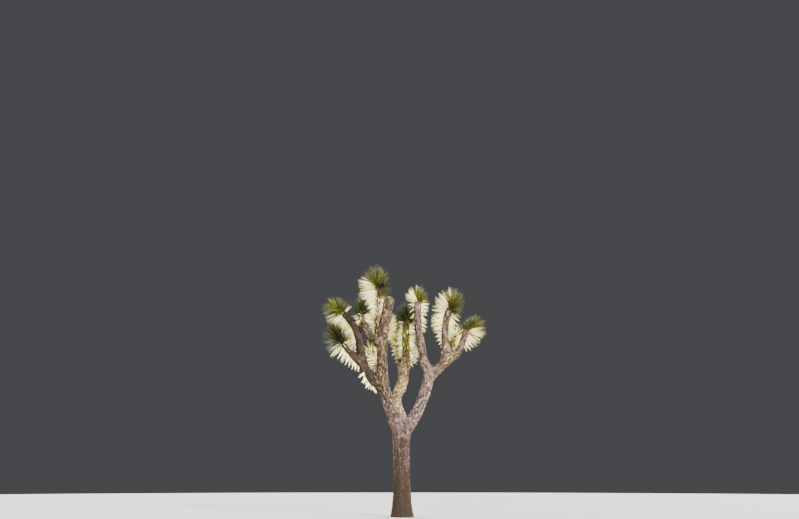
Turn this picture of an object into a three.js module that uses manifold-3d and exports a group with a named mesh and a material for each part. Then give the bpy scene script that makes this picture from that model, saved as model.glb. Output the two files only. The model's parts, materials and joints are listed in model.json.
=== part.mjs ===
// A joshua tree about five metres tall: one trunk with a flared foot, forking limbs of bare bark, and a
// head of dagger leaves at the end of every limb but one, which is a bare rounded stub.
// Millimetres, +Z up. The origin is the middle of the flat cut under the trunk, at ground level.
import * as THREE from 'three';
import { mergeVertices } from 'three/addons/utils/BufferGeometryUtils.js';
import Module from 'manifold-3d';

const wasm = await Module();
wasm.setup();

// Clearance between neighbouring pieces
const GAP = 0.3;

// Trunk
const TRUNK_HEIGHT = 1480;
const TRUNK_LEAN = -17;
const TRUNK_WAIST_RADIUS = 147;
const TRUNK_FOOT_RADIUS = 212;
const FLARE_HEIGHT = 300;
const FORK_SWELL = 25;
const FOOT_LOBES = 5;
const FOOT_LOBE_DEPTH = 0.05;
const TRUNK_DOME_SHARE = 1.1;
const TRUNK_SIDES = 16;

// Limbs: the collar where one leaves its parent, and the slow swellings along its bark
const LIMB_SIDES = 10;
const RING_STEP = 170;
const SAMPLE_STEP = 40;
const ROOT_RADIUS_SHARE = 0.75;
const COLLAR_SWELL = 14;
const COLLAR_LENGTH = 170;
const KNOT_SWELL = 0.035;
const KNOT_SPACING = 430;
const DOME_SHARE = 0.6;
const DOME_RINGS = 3;

// Leafy shoots: the stem inside each mass of leaves narrows to a blunt apex
const STEM_SIDES = 6;
const APEX_LENGTH = 220;
const APEX_RADIUS_SHARE = 0.5;
const APEX_CURVE = 1.5;

// Leaves: stiff daggers, close to the stem's line at the apex and square to it further down
const LEAF_LENGTH = 315;
const LEAF_WIDTH = 58;
const LEAF_THICKNESS = 34;
const LEAF_BELLY = 0.36;
const HEAD_LEAVES = 24;
const HEAD_DEPTH = 190;
const LEAF_PITCH = 33;
const SKIRT_ANGLE = 103;
const DROOP_ANGLE = 125;
const ANGLE_SPREAD = 8;
const LENGTH_SPREAD = 0.1;
const GOLDEN_ANGLE = 137.508;
const LEAF_ROOT_SHARE = 0.35;
const LOWEST_LEAF = 75;
const LEAF_CLEARANCE = 2;
const SHORTER_LEAVES = [1, 0.82, 0.66];
const LEAF_CHECKS = [0, 0.15, 0.3, 0.5, 0.7, 0.85, 1];
const SEED = 20;

// Points closer than the first are one corner. Edges shorter than the second, left by cuts, are closed.
const SAME_POINT = 1e-4;
const SHORTEST_EDGE = 0.05;

// The camera's side of the tree, from which azimuths round a limb are counted towards its right
const FRONT = new THREE.Vector3(0, -1, 0);

// The old skirt of leaves along the underside of the low left limb: a crescent of leaf bases
const SKIRT = {
  name: 'leaves_skirt',
  limb: 'limb_low_left',
  from: 0.06,
  to: 0.4,
  centre: -105,
  halfAngle: 50,
};
const SKIRT_THICKNESS = 34;
const SKIRT_PITCH = 17;
const SKIRT_FIRST_LEAF = 60;
const SKIRT_FULL_LEAF = 160;
const SKIRT_FULL_FROM = 0.1;
const SKIRT_LEAF_ROOT = 6;
const SKIRT_MARGIN = 0.02;

// Each limb starts on its parent's centre line, at the share `at` of its length, and runs to its tip,
// bowed once and swayed in an S. Radii are those of the bark. `head` says what leaves it carries: from
// which share of its length, how long they are (`size`), how much longer on the full side (`skew` at
// azimuth `full`), how long the lowest are (`lowest`), and the side without leaves (`bareAt` give or take
// `bareHalf` degrees, from `bareBelow` under the apex). `dome` is the height of a bare end's rounding, as a
// share of its radius.
const LIMBS = [
  { name: 'bough_left', parent: 'trunk', at: 0.96, tip: [-260, -520, 3965],
    bow: [-255, 65, -15], sway: [-10, 15, -10], baseRadius: 104, tipRadius: 110, dome: 0.95 },
  { name: 'bough_right', parent: 'trunk', at: 0.955, tip: [555, -100, 2565],
    bow: [90, 20, -45], sway: [5, 10, -5], baseRadius: 100, tipRadius: 110 },
  { name: 'bough_middle', parent: 'trunk', at: 0.97, tip: [20, 120, 2365],
    bow: [-80, 5, 20], sway: [50, 5, -5], baseRadius: 96, tipRadius: 100 },
  { name: 'limb_middle', parent: 'bough_middle', at: 0.9, tip: [120, 380, 3975],
    bow: [55, 30, -15], sway: [25, 0, -5], baseRadius: 98, tipRadius: 76,
    head: { from: 0.42, size: 0.85, full: -100, skew: 0.1, bareHalf: 55, bareBelow: 160 } },
  { name: 'limb_centre', parent: 'bough_right', at: 0.93, tip: [345, -480, 4080],
    bow: [-75, -20, -15], sway: [10, 15, 5], baseRadius: 86, tipRadius: 76,
    head: { from: 0.55, size: 0.72, full: -90, skew: 0.1, lowest: 0.45, bareAt: -35, bareHalf: 95 } },
  { name: 'limb_fork_right', parent: 'bough_right', at: 0.93, tip: [1010, 0, 2935],
    bow: [5, -20, 0], sway: [-5, 0, 5], baseRadius: 90, tipRadius: 86 },
  { name: 'limb_far_right', parent: 'limb_fork_right', at: 0.93, tip: [1490, 70, 3620],
    bow: [35, 15, -30], sway: [30, 0, -20], baseRadius: 74, tipRadius: 64,
    head: { from: 0.42, size: 0.85, full: 90, skew: 0.35, bareAt: -35, bareHalf: 95, bareBelow: 130 } },
  { name: 'limb_upright_right', parent: 'limb_fork_right', at: 0.86, tip: [1075, -280, 4020],
    bow: [-105, 10, 15], sway: [5, 5, -5], baseRadius: 78, tipRadius: 72,
    head: { from: 0.5, size: 0.95, full: -95, skew: 0.12, lowest: 0.65, bareHalf: 62, bareBelow: 150 } },
  { name: 'limb_low_left', parent: 'bough_left', at: 0.3, tip: [-1365, -300, 3890],
    bow: [5, -55, 20], sway: [-95, 25, -60], baseRadius: 78, tipRadius: 72,
    head: { from: 0.45, size: 0.85, full: -110, skew: 0.2, bareAt: 45, bareHalf: 110, bareBelow: 220 } },
  { name: 'limb_outer_left', parent: 'limb_low_left', at: 0.3, tip: [-1280, -550, 3245],
    bow: [-25, -5, -25], sway: [0, 10, 5], baseRadius: 63, tipRadius: 57,
    head: { from: 0.27, size: 0.95, full: -120, skew: 0.15, lowest: 0.45, bareAt: 50, bareHalf: 110,
      bareBelow: 220 } },
  { name: 'limb_inner_left', parent: 'bough_left', at: 0.66, tip: [-835, -400, 3855],
    bow: [-110, -30, -60], sway: [10, 5, 0], baseRadius: 82, tipRadius: 68,
    head: { from: 0.6, size: 0.75, lowest: 0.6 } },
  { name: 'limb_top', parent: 'bough_left', at: 0.63, tip: [-530, 200, 4715],
    bow: [-55, 140, -55], sway: [-10, 25, -15], baseRadius: 82, tipRadius: 70,
    head: { from: 0.25, size: 1.1, full: -85, skew: 0.2, lowest: 0.3 } },
  { name: 'limb_back_1', parent: 'limb_middle', at: 0.12, tip: [-115, 850, 3745],
    bow: [10, 65, -35], sway: [0, -15, 10], baseRadius: 73, tipRadius: 68,
    head: { from: 0.45, size: 0.62 } },
  { name: 'limb_back_2', parent: 'limb_middle', at: 0.28, tip: [240, 950, 3395],
    bow: [-5, 60, -65], sway: [0, -25, 25], baseRadius: 72, tipRadius: 67,
    head: { from: 0.36, size: 0.6 } },
  { name: 'limb_back_3', parent: 'bough_left', at: 0.42, tip: [-685, 750, 3345],
    bow: [-20, 35, -40], sway: [10, -15, 15], baseRadius: 71, tipRadius: 65,
    head: { from: 0.36, size: 0.6 } },
  { name: 'limb_back_4', parent: 'limb_upright_right', at: 0.1, tip: [880, 620, 4005],
    bow: [40, 100, -65], sway: [0, 5, -10], baseRadius: 71, tipRadius: 66,
    head: { from: 0.34, size: 0.65 } },
  { name: 'limb_back_5', parent: 'limb_fork_right', at: 0.6, tip: [1250, 800, 3730],
    bow: [-5, 55, -45], sway: [0, -25, 20], baseRadius: 71, tipRadius: 66,
    head: { from: 0.34, size: 0.6 } },
  { name: 'limb_back_6', parent: 'bough_left', at: 0.7, tip: [-235, 550, 3865],
    bow: [-15, 20, -20], sway: [10, -15, 15], baseRadius: 71, tipRadius: 66,
    head: { from: 0.4, size: 0.7 } },
  { name: 'limb_back_7', parent: 'limb_low_left', at: 0.45, tip: [-1215, 500, 3710],
    bow: [-5, 55, -50], sway: [0, -25, 20], baseRadius: 70, tipRadius: 65,
    head: { from: 0.34, size: 0.75 } },
];

// What a head is where its row doesn't say otherwise
const COMMON_HEAD = { size: 1, full: 180, skew: 0, lowest: 0.5, bareAt: 0, bareHalf: 0, bareBelow: 120 };

const BARK = { color: 0x85705f, roughness: 0.92, metalness: 0 };
const LEAF = { color: 0xb4b585, roughness: 0.6, metalness: 0 };

const { lerp, clamp, radToDeg, degToRad: degrees } = THREE.MathUtils;

// A limb's centre line: straight from start to tip, with one arch and one S added
class LimbRoute extends THREE.Curve {
  constructor(start, tip, bow, sway) {
    super();
    this.start = start;
    this.reach = new THREE.Vector3(...tip).sub(start);
    this.bow = new THREE.Vector3(...bow);
    this.sway = new THREE.Vector3(...sway);
  }

  getPoint(t, target = new THREE.Vector3()) {
    return target
      .copy(this.start)
      .addScaledVector(this.reach, t)
      .addScaledVector(this.bow, 4 * t * (1 - t))
      .addScaledVector(this.sway, Math.sin(2 * Math.PI * t));
  }

  getTangent(t, target = new THREE.Vector3()) {
    return target
      .copy(this.reach)
      .addScaledVector(this.bow, 4 * (1 - 2 * t))
      .addScaledVector(this.sway, 2 * Math.PI * Math.cos(2 * Math.PI * t))
      .normalize();
  }
}

// Numbers between 0 and 1 that are the same in every run
function seededRandom(seed) {
  let state = seed;
  return () => {
    state = (state + 0x6d2b79f5) | 0;
    let mixed = Math.imul(state ^ (state >>> 15), 1 | state);
    mixed = (mixed + Math.imul(mixed ^ (mixed >>> 7), 61 | mixed)) ^ mixed;
    return ((mixed ^ (mixed >>> 14)) >>> 0) / 4294967296;
  };
}

// The directions at a point of a limb: along it, out of its front and to its side
function frameAt(route, t) {
  const along = route.getTangent(t);
  const front = FRONT.clone().addScaledVector(along, -along.dot(FRONT)).normalize();
  const side = new THREE.Vector3().crossVectors(along, front);
  return { along, front, side };
}

// The outward direction at an azimuth round a limb, counted from its front
function outward(frame, azimuth) {
  return new THREE.Vector3()
    .addScaledVector(frame.front, Math.cos(azimuth))
    .addScaledVector(frame.side, Math.sin(azimuth));
}

function trunkRadius(t, azimuth) {
  const flare = Math.exp((-t * TRUNK_HEIGHT) / FLARE_HEIGHT);
  const lobes = 1 + FOOT_LOBE_DEPTH * flare * Math.cos(FOOT_LOBES * azimuth);
  const waist = TRUNK_WAIST_RADIUS + FORK_SWELL * t ** 4;
  return (waist + (TRUNK_FOOT_RADIUS - TRUNK_WAIST_RADIUS) * flare) * lobes;
}

// One limb: a row of the table with its centre line and the radii along it
class Limb {
  constructor(row, order, parentRoute) {
    Object.assign(this, row, { order, head: row.head && { ...COMMON_HEAD, ...row.head } });
    this.route = new LimbRoute(parentRoute.getPoint(row.at), row.tip, row.bow, row.sway);
    this.length = this.route.getLength();
    this.barkEnd = row.head?.from ?? 1;
    this.bark = this.samples(0, this.barkEnd);
    this.stem = this.samples(this.barkEnd, 1);
  }

  // The radius at a share of the length: a taper, a collar at the base, knots and a narrowing leafy apex
  radius(t) {
    const distance = t * this.length;
    const taper = lerp(this.baseRadius, this.tipRadius, t);
    const collar = COLLAR_SWELL * Math.exp(-distance / COLLAR_LENGTH);
    const knots = 1 + KNOT_SWELL * Math.sin((2 * Math.PI * distance) / KNOT_SPACING + this.order);
    const nearApex = this.head ? clamp(1 - (this.length - distance) / APEX_LENGTH, 0, 1) : 0;
    return (taper + collar) * knots * lerp(1, APEX_RADIUS_SHARE, nearApex ** APEX_CURVE);
  }

  // Points down the middle between two shares of the length, with the radius at each
  samples(from, to) {
    const steps = Math.ceil(((to - from) * this.length) / SAMPLE_STEP);
    return Array.from({ length: steps + 1 }, (_, step) => {
      const t = lerp(from, to, steps ? step / steps : 0);
      return { point: this.route.getPoint(t), radius: this.radius(t) };
    });
  }

  // The bark from the root, inside the parent, to the stub, the fork or the leaves
  barkTube(grow) {
    const radiusAt = (t) => this.radius(t) * (t === 0 ? ROOT_RADIUS_SHARE : 1);
    const dome = this.head ? 0 : this.dome ?? DOME_SHARE;
    return tube(this.route, { from: 0, to: this.barkEnd, sides: LIMB_SIDES, radiusAt, grow, dome });
  }

  // The stem that carries on from a leafy limb's bark to its apex
  stemTube(grow) {
    const from = this.head.from + GAP / this.length;
    const radiusAt = (t) => this.radius(t);
    return tube(this.route, { from, to: 1, sides: STEM_SIDES, radiusAt, grow, dome: DOME_SHARE });
  }
}

// A ring of points round a centre
function ringOf(centre, frame, sides, radiusOf) {
  return Array.from({ length: sides }, (_, corner) => {
    const azimuth = (2 * Math.PI * corner) / sides;
    return centre.clone().addScaledVector(outward(frame, azimuth), radiusOf(azimuth));
  });
}

// A closed skin over rings of equal count, from a first middle point to a last one
function loft(first, rings, last) {
  const sides = rings[0].length;
  const points = [first, ...rings.flat(), last];
  const corner = (ring, side) => 1 + ring * sides + (side % sides);
  const triangles = [];
  for (let side = 0; side < sides; side += 1) {
    triangles.push(0, corner(0, side + 1), corner(0, side));
    for (let ring = 0; ring + 1 < rings.length; ring += 1) {
      triangles.push(corner(ring, side), corner(ring, side + 1), corner(ring + 1, side + 1));
      triangles.push(corner(ring, side), corner(ring + 1, side + 1), corner(ring + 1, side));
    }
    triangles.push(points.length - 1, corner(rings.length - 1, side), corner(rings.length - 1, side + 1));
  }
  const geometry = new THREE.BufferGeometry().setFromPoints(points);
  geometry.setIndex(triangles);
  return geometry;
}

// A ring moved along a direction
function shifted(ring, direction, distance) {
  return ring.map((point) => point.clone().addScaledVector(direction, distance));
}

// A tapering round bar along a route, ending flat or in a dome. A grown one reaches past its flat ends.
function tube(route, { from, to, sides, radiusAt, grow = 0, dome = 0 }) {
  const steps = Math.max(2, Math.ceil(((to - from) * route.getLength()) / RING_STEP));
  const rings = Array.from({ length: steps + 1 }, (_, step) => {
    const t = lerp(from, to, step / steps);
    return ringOf(route.getPoint(t), frameAt(route, t), sides, (azimuth) => radiusAt(t, azimuth) + grow);
  });
  const end = route.getPoint(to);
  const frame = frameAt(route, to);
  if (grow > 0) {
    rings.unshift(shifted(rings[0], frameAt(route, from).along, -2 * grow));
    rings.push(shifted(rings.at(-1), frame.along, 2 * grow));
  }
  const height = dome * (radiusAt(to, 0) + grow);
  for (let ring = 1; dome && ring <= DOME_RINGS; ring += 1) {
    const angle = (ring / (DOME_RINGS + 1)) * (Math.PI / 2);
    const centre = end.clone().addScaledVector(frame.along, height * Math.sin(angle));
    rings.push(ringOf(centre, frame, sides, (azimuth) => (radiusAt(to, azimuth) + grow) * Math.cos(angle)));
  }
  return loft(route.getPoint(from), rings, end.addScaledVector(frame.along, height));
}

function toSolid(geometry) {
  const bare = geometry.clone();
  bare.deleteAttribute('normal');
  bare.deleteAttribute('uv');
  const merged = mergeVertices(bare, SAME_POINT);
  return new wasm.Manifold(new wasm.Mesh({
    numProp: 3,
    vertProperties: new Float32Array(merged.attributes.position.array),
    triVerts: new Uint32Array(merged.index.array),
  }));
}

function toGeometry(solid) {
  const mesh = solid.getMesh();
  const geometry = new THREE.BufferGeometry();
  geometry.setAttribute('position', new THREE.BufferAttribute(mesh.vertProperties, 3));
  geometry.setIndex(new THREE.BufferAttribute(mesh.triVerts, 1));
  geometry.computeVertexNormals();
  return geometry;
}

// The largest piece of a solid that a cut may have left in scraps, with its shortest edges taken out
function largestPiece(solid) {
  const pieces = solid.simplify(SHORTEST_EDGE).decompose();
  return pieces.reduce((best, piece) => (piece.volume() > best.volume() ? piece : best));
}

function trunkTube(route, grow) {
  const dome = TRUNK_DOME_SHARE;
  return tube(route, { from: 0, to: 1, sides: TRUNK_SIDES, radiusAt: trunkRadius, grow, dome });
}

// The trunk's centre line: upright at the foot, leaning more and more towards the fork
function trunkRoute() {
  const bow = [-TRUNK_LEAN / 4, 0, 0];
  return new LimbRoute(new THREE.Vector3(), [TRUNK_LEAN, 0, TRUNK_HEIGHT], bow, [0, 0, 0]);
}

// All limbs in growing order
function layOutLimbs(trunk) {
  const routes = new Map([['trunk', trunk]]);
  return LIMBS.map((row, order) => {
    const limb = new Limb(row, order, routes.get(row.parent));
    routes.set(row.name, limb.route);
    return limb;
  });
}

// Cuts each limb clear of the trunk and of the bark and stem of every limb before it
function cutLimbs(trunk, limbs) {
  const solids = [];
  const grown = [toSolid(trunkTube(trunk, GAP))];
  for (const limb of limbs) {
    const rough = toSolid(limb.barkTube(0));
    solids.push(largestPiece(grown.reduce((rest, earlier) => rest.subtract(earlier), rough)));
    grown.push(toSolid(limb.barkTube(GAP)));
    if (limb.head) grown.push(toSolid(limb.stemTube(GAP)));
  }
  return { solids, grown };
}

// How far a leaf's edge is from its middle at a share of its length
function leafHalfWidth(share) {
  return (LEAF_WIDTH / 2) * Math.min(share / LEAF_BELLY, (1 - share) / (1 - LEAF_BELLY));
}

function nearest(point, samples) {
  return Math.min(...samples.map((sample) => sample.point.distanceTo(point)));
}

// True where a leaf stays in its own mass's space and clear of the other limbs' bark
function leafIsClear(root, tip, space) {
  return LEAF_CHECKS.every((share) => {
    const point = root.clone().lerp(tip, share);
    const room = leafHalfWidth(share) + LEAF_CLEARANCE;
    const owned = nearest(point, space.own) + 2 * room;
    const inSpace = space.others.every((stem) => nearest(point, stem) > owned);
    return inSpace && space.barks.every((bark) => bark.point.distanceTo(point) > bark.radius + room);
  });
}

// A three-sided dagger: a narrow root in the stem, a wider belly with its flat side up, and a sharp tip
function leafSolid(root, tip, along) {
  const direction = tip.clone().sub(root).normalize();
  const across = new THREE.Vector3().crossVectors(direction, along).normalize();
  const keel = new THREE.Vector3().crossVectors(direction, across);
  const middle = root.clone().lerp(tip, LEAF_BELLY);
  const belly = [
    middle.clone().addScaledVector(across, LEAF_WIDTH / 2),
    middle.clone().addScaledVector(keel, LEAF_THICKNESS),
    middle.clone().addScaledVector(across, -LEAF_WIDTH / 2),
  ];
  return toSolid(loft(root, [belly], tip));
}

// One leaf at a place on a limb, shortened until it is clear, or null
function growLeaf(limb, place, space) {
  const frame = frameAt(limb.route, place.t);
  const out = outward(frame, place.azimuth);
  const root = limb.route.getPoint(place.t).addScaledVector(out, place.rootRadius);
  const direction = out.multiplyScalar(Math.sin(place.opening));
  direction.addScaledVector(frame.along, Math.cos(place.opening));
  for (const share of SHORTER_LEAVES) {
    const tip = root.clone().addScaledVector(direction, place.reach * share);
    if (leafIsClear(root, tip, space)) return leafSolid(root, tip, frame.along);
  }
  return null;
}

// How far an azimuth is from another, both in degrees, between 0 and 180
function turnBetween(one, other) {
  return Math.abs(THREE.MathUtils.euclideanModulo(one - other + 180, 360) - 180);
}

// The angle from the stem of a leaf at a share of the head, so that the leaves fan evenly over its dome
function evenOpening(share) {
  return radToDeg(Math.acos(1 - share * (1 - Math.cos(degrees(SKIRT_ANGLE)))));
}

// True on the side of a head that has lost its leaves
function isBare(head, fromApex, azimuth) {
  return fromApex > head.bareBelow && turnBetween(azimuth, head.bareAt) < head.bareHalf;
}

// The places of the leaves on a limb's stem, spiralling down from the apex
function headPlaces(limb, random) {
  const { head } = limb;
  const leafyLength = (1 - head.from) * limb.length - LOWEST_LEAF;
  const count = HEAD_LEAVES + Math.round((leafyLength - HEAD_DEPTH) / LEAF_PITCH);
  const places = [];
  for (let index = 0; index < count; index += 1) {
    const inHead = Math.min(1, index / HEAD_LEAVES);
    const underHead = Math.max(0, index - HEAD_LEAVES) * LEAF_PITCH;
    const fromApex = inHead * HEAD_DEPTH + underHead;
    const azimuth = index * GOLDEN_ANGLE;
    const droop = (DROOP_ANGLE - SKIRT_ANGLE) * (underHead / (leafyLength - HEAD_DEPTH));
    const opening = degrees(evenOpening(inHead) + droop + ANGLE_SPREAD * (random() - 0.5));
    const fuller = 1 + head.skew * Math.cos(degrees(azimuth - head.full)) * Math.sin(opening);
    const length = LEAF_LENGTH * head.size * lerp(1, head.lowest, fromApex / leafyLength) * fuller;
    const size = length * (1 + LENGTH_SPREAD * (random() - 0.5));
    if (!isBare(head, fromApex, azimuth)) {
      const t = 1 - fromApex / limb.length;
      const rootRadius = LEAF_ROOT_SHARE * limb.radius(t);
      const reach = size + limb.radius(t) - rootRadius;
      places.push({ t, azimuth: degrees(azimuth), opening, rootRadius, reach });
    }
  }
  return places;
}

// The places of the leaves on the old skirt, rooted in its crescent
function skirtPlaces(limb, random) {
  const count = Math.round(((SKIRT.to - SKIRT.from) * limb.length) / SKIRT_PITCH);
  return Array.from({ length: count }, (_, index) => {
    const t = lerp(SKIRT.from + SKIRT_MARGIN, SKIRT.to - SKIRT_MARGIN, index / (count - 1));
    const azimuth = degrees(SKIRT.centre + SKIRT.halfAngle * (2 * random() - 1));
    const opening = degrees(SKIRT_ANGLE + ANGLE_SPREAD * (random() - 0.5));
    const grown = clamp((t - SKIRT.from) / SKIRT_FULL_FROM, 0, 1);
    const reach = lerp(SKIRT_FIRST_LEAF, SKIRT_FULL_LEAF, grown);
    return { t, azimuth, opening, rootRadius: limb.radius(t) + SKIRT_LEAF_ROOT, reach };
  });
}

// A mass of leaves: the leaves that find room at their places, fused with what carries them
function leafMass(limb, carrier, places, space) {
  const leaves = places.map((place) => growLeaf(limb, place, space)).filter(Boolean);
  return largestPiece(leaves.reduce((mass, leaf) => mass.add(leaf), carrier));
}

// The crescent of old leaf bases under a limb: a bar set aside from the limb and cut clear of the bark
function skirtCrescent(limb, grown) {
  const aside = degrees(SKIRT.centre);
  const middles = [0, 0.25, 0.5, 0.75, 1].map((share) => {
    const t = lerp(SKIRT.from, SKIRT.to, share);
    const out = outward(frameAt(limb.route, t), aside);
    return limb.route.getPoint(t).addScaledVector(out, SKIRT_THICKNESS);
  });
  const radiusAt = (share) => limb.radius(lerp(SKIRT.from, SKIRT.to, share));
  const line = new THREE.CatmullRomCurve3(middles);
  const bar = toSolid(tube(line, { from: 0, to: 1, sides: LIMB_SIDES, radiusAt }));
  return largestPiece(grown.reduce((rest, limbSolid) => rest.subtract(limbSolid), bar));
}

function named(name, solid, finish) {
  const mesh = new THREE.Mesh(toGeometry(solid), new THREE.MeshStandardMaterial(finish));
  mesh.name = name;
  return mesh;
}

function buildTree() {
  const tree = new THREE.Group();
  const trunk = trunkRoute();
  const limbs = layOutLimbs(trunk);
  const { solids, grown } = cutLimbs(trunk, limbs);
  tree.add(named('trunk', toSolid(trunkTube(trunk, 0)), BARK));
  limbs.forEach((limb, index) => tree.add(named(limb.name, solids[index], BARK)));

  const leafy = limbs.filter((limb) => limb.head);
  const skirtLimb = limbs.find((limb) => limb.name === SKIRT.limb);
  const skirtMiddle = skirtLimb.samples(SKIRT.from, SKIRT.to);
  const middles = [...leafy.map((limb) => limb.stem), skirtMiddle];
  const spaceOf = (limb, own) => ({
    own,
    others: middles.filter((middle) => middle !== own),
    barks: limbs.filter((other) => other !== limb).flatMap((other) => other.bark),
  });
  const random = seededRandom(SEED);
  for (const limb of leafy) {
    const places = headPlaces(limb, random);
    const mass = leafMass(limb, toSolid(limb.stemTube(0)), places, spaceOf(limb, limb.stem));
    tree.add(named(limb.name.replace(/^(bough|limb)/, 'leaves'), mass, LEAF));
  }
  const crescent = skirtCrescent(skirtLimb, grown);
  const places = skirtPlaces(skirtLimb, random);
  const skirt = leafMass(skirtLimb, crescent, places, spaceOf(skirtLimb, skirtMiddle));
  tree.add(named(SKIRT.name, skirt, LEAF));
  return tree;
}

export default buildTree();
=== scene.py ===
"""The looks of the joshua tree: bark with real relief, and heads of dagger leaves on every leafy shoot.

Metres, +Z up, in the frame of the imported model. The limbs and the leaves follow the rules of the solids,
with the leaves carried to their true number.
"""

import json
import logging
import math
from collections.abc import Mapping, Sequence
from dataclasses import dataclass, field
from enum import Enum

import bmesh
import bpy
import numpy as np
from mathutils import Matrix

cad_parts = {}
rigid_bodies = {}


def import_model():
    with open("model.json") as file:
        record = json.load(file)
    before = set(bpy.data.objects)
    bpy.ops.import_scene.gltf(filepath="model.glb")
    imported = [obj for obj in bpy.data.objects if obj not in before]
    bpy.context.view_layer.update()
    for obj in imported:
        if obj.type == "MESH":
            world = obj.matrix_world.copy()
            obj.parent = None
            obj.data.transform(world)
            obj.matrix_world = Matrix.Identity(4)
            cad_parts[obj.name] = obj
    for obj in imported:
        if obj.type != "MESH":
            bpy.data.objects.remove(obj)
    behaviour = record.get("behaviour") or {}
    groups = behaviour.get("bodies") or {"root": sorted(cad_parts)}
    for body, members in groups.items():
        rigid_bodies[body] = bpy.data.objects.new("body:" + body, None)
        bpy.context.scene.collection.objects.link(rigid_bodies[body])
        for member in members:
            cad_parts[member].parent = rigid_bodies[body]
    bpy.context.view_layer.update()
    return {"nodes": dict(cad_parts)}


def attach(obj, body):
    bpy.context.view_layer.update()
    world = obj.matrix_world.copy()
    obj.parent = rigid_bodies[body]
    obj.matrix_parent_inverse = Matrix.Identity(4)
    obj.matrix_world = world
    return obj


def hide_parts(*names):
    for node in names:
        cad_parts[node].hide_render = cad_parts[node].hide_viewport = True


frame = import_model()

LOG = logging.getLogger("joshua_tree")
Colour = tuple[float, float, float]
Triple = tuple[float, float, float]
Band = tuple[float, float]

# Compass of the tree: the camera looks along +Y, so the front of every limb is its -Y side
FRONT = np.array([0.0, -1.0, 0.0])
SEED = 20

BODY = "root"
TRUNK = "trunk"


class Tone(Enum):
    """The colours that are dealt out over the leaves, spray by spray."""

    # Green leaves darkened to near black: painted shade.
    DEEP_GREEN = "deep_green"
    GREEN = "green"
    OLIVE = "olive"
    STRAW = "straw"
    CREAM = "cream"
    RUSSET = "russet"


Mix = tuple[tuple[Tone, float], ...]


class Family(Enum):
    """The parts of the tree whose bark is one piece each."""

    BOUGHS = "bark_trunk_and_boughs"
    LEFT = "bark_left_limbs"
    RIGHT = "bark_right_limbs"


class Wire:
    """A node's output. Python's operators on it add Math nodes to its tree."""

    def __init__(self, graph: "Graph", socket: bpy.types.NodeSocket) -> None:
        """Wraps one output.

        Args:
            graph: The tree that the socket is in.
            socket: The output.
        """
        self.graph = graph
        self.socket = socket

    def __add__(self, other: "Wire | float") -> "Wire":
        """The sum."""
        return self.graph.maths("ADD", self, other)

    __radd__ = __add__

    def __sub__(self, other: "Wire | float") -> "Wire":
        """The difference."""
        return self.graph.maths("SUBTRACT", self, other)

    def __rsub__(self, other: "Wire | float") -> "Wire":
        """The difference the other way round."""
        return self.graph.maths("SUBTRACT", other, self)

    def __mul__(self, other: "Wire | float") -> "Wire":
        """The product."""
        return self.graph.maths("MULTIPLY", self, other)

    __rmul__ = __mul__

    def __pow__(self, other: "Wire | float") -> "Wire":
        """The power."""
        return self.graph.maths("POWER", self, other)

    def step(self, low: float, high: float) -> "Wire":
        """A smooth step.

        Args:
            low: The value up to which it is 0.
            high: The value from which it is 1.

        Returns:
            The step.
        """
        settings = {"interpolation_type": "SMOOTHSTEP"}
        inputs = {"Value": self, "From Min": low, "From Max": high}
        return self.graph.add("ShaderNodeMapRange", settings, inputs)["Result"]


class Outputs:
    """A node whose outputs are looked up by name or place, as wires."""

    def __init__(self, graph: "Graph", node: bpy.types.Node) -> None:
        """Wraps one node."""
        self.graph = graph
        self.node = node

    def __getitem__(self, key: str | int) -> Wire:
        """The output of that name or place."""
        return Wire(self.graph, self.node.outputs[key])


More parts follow.
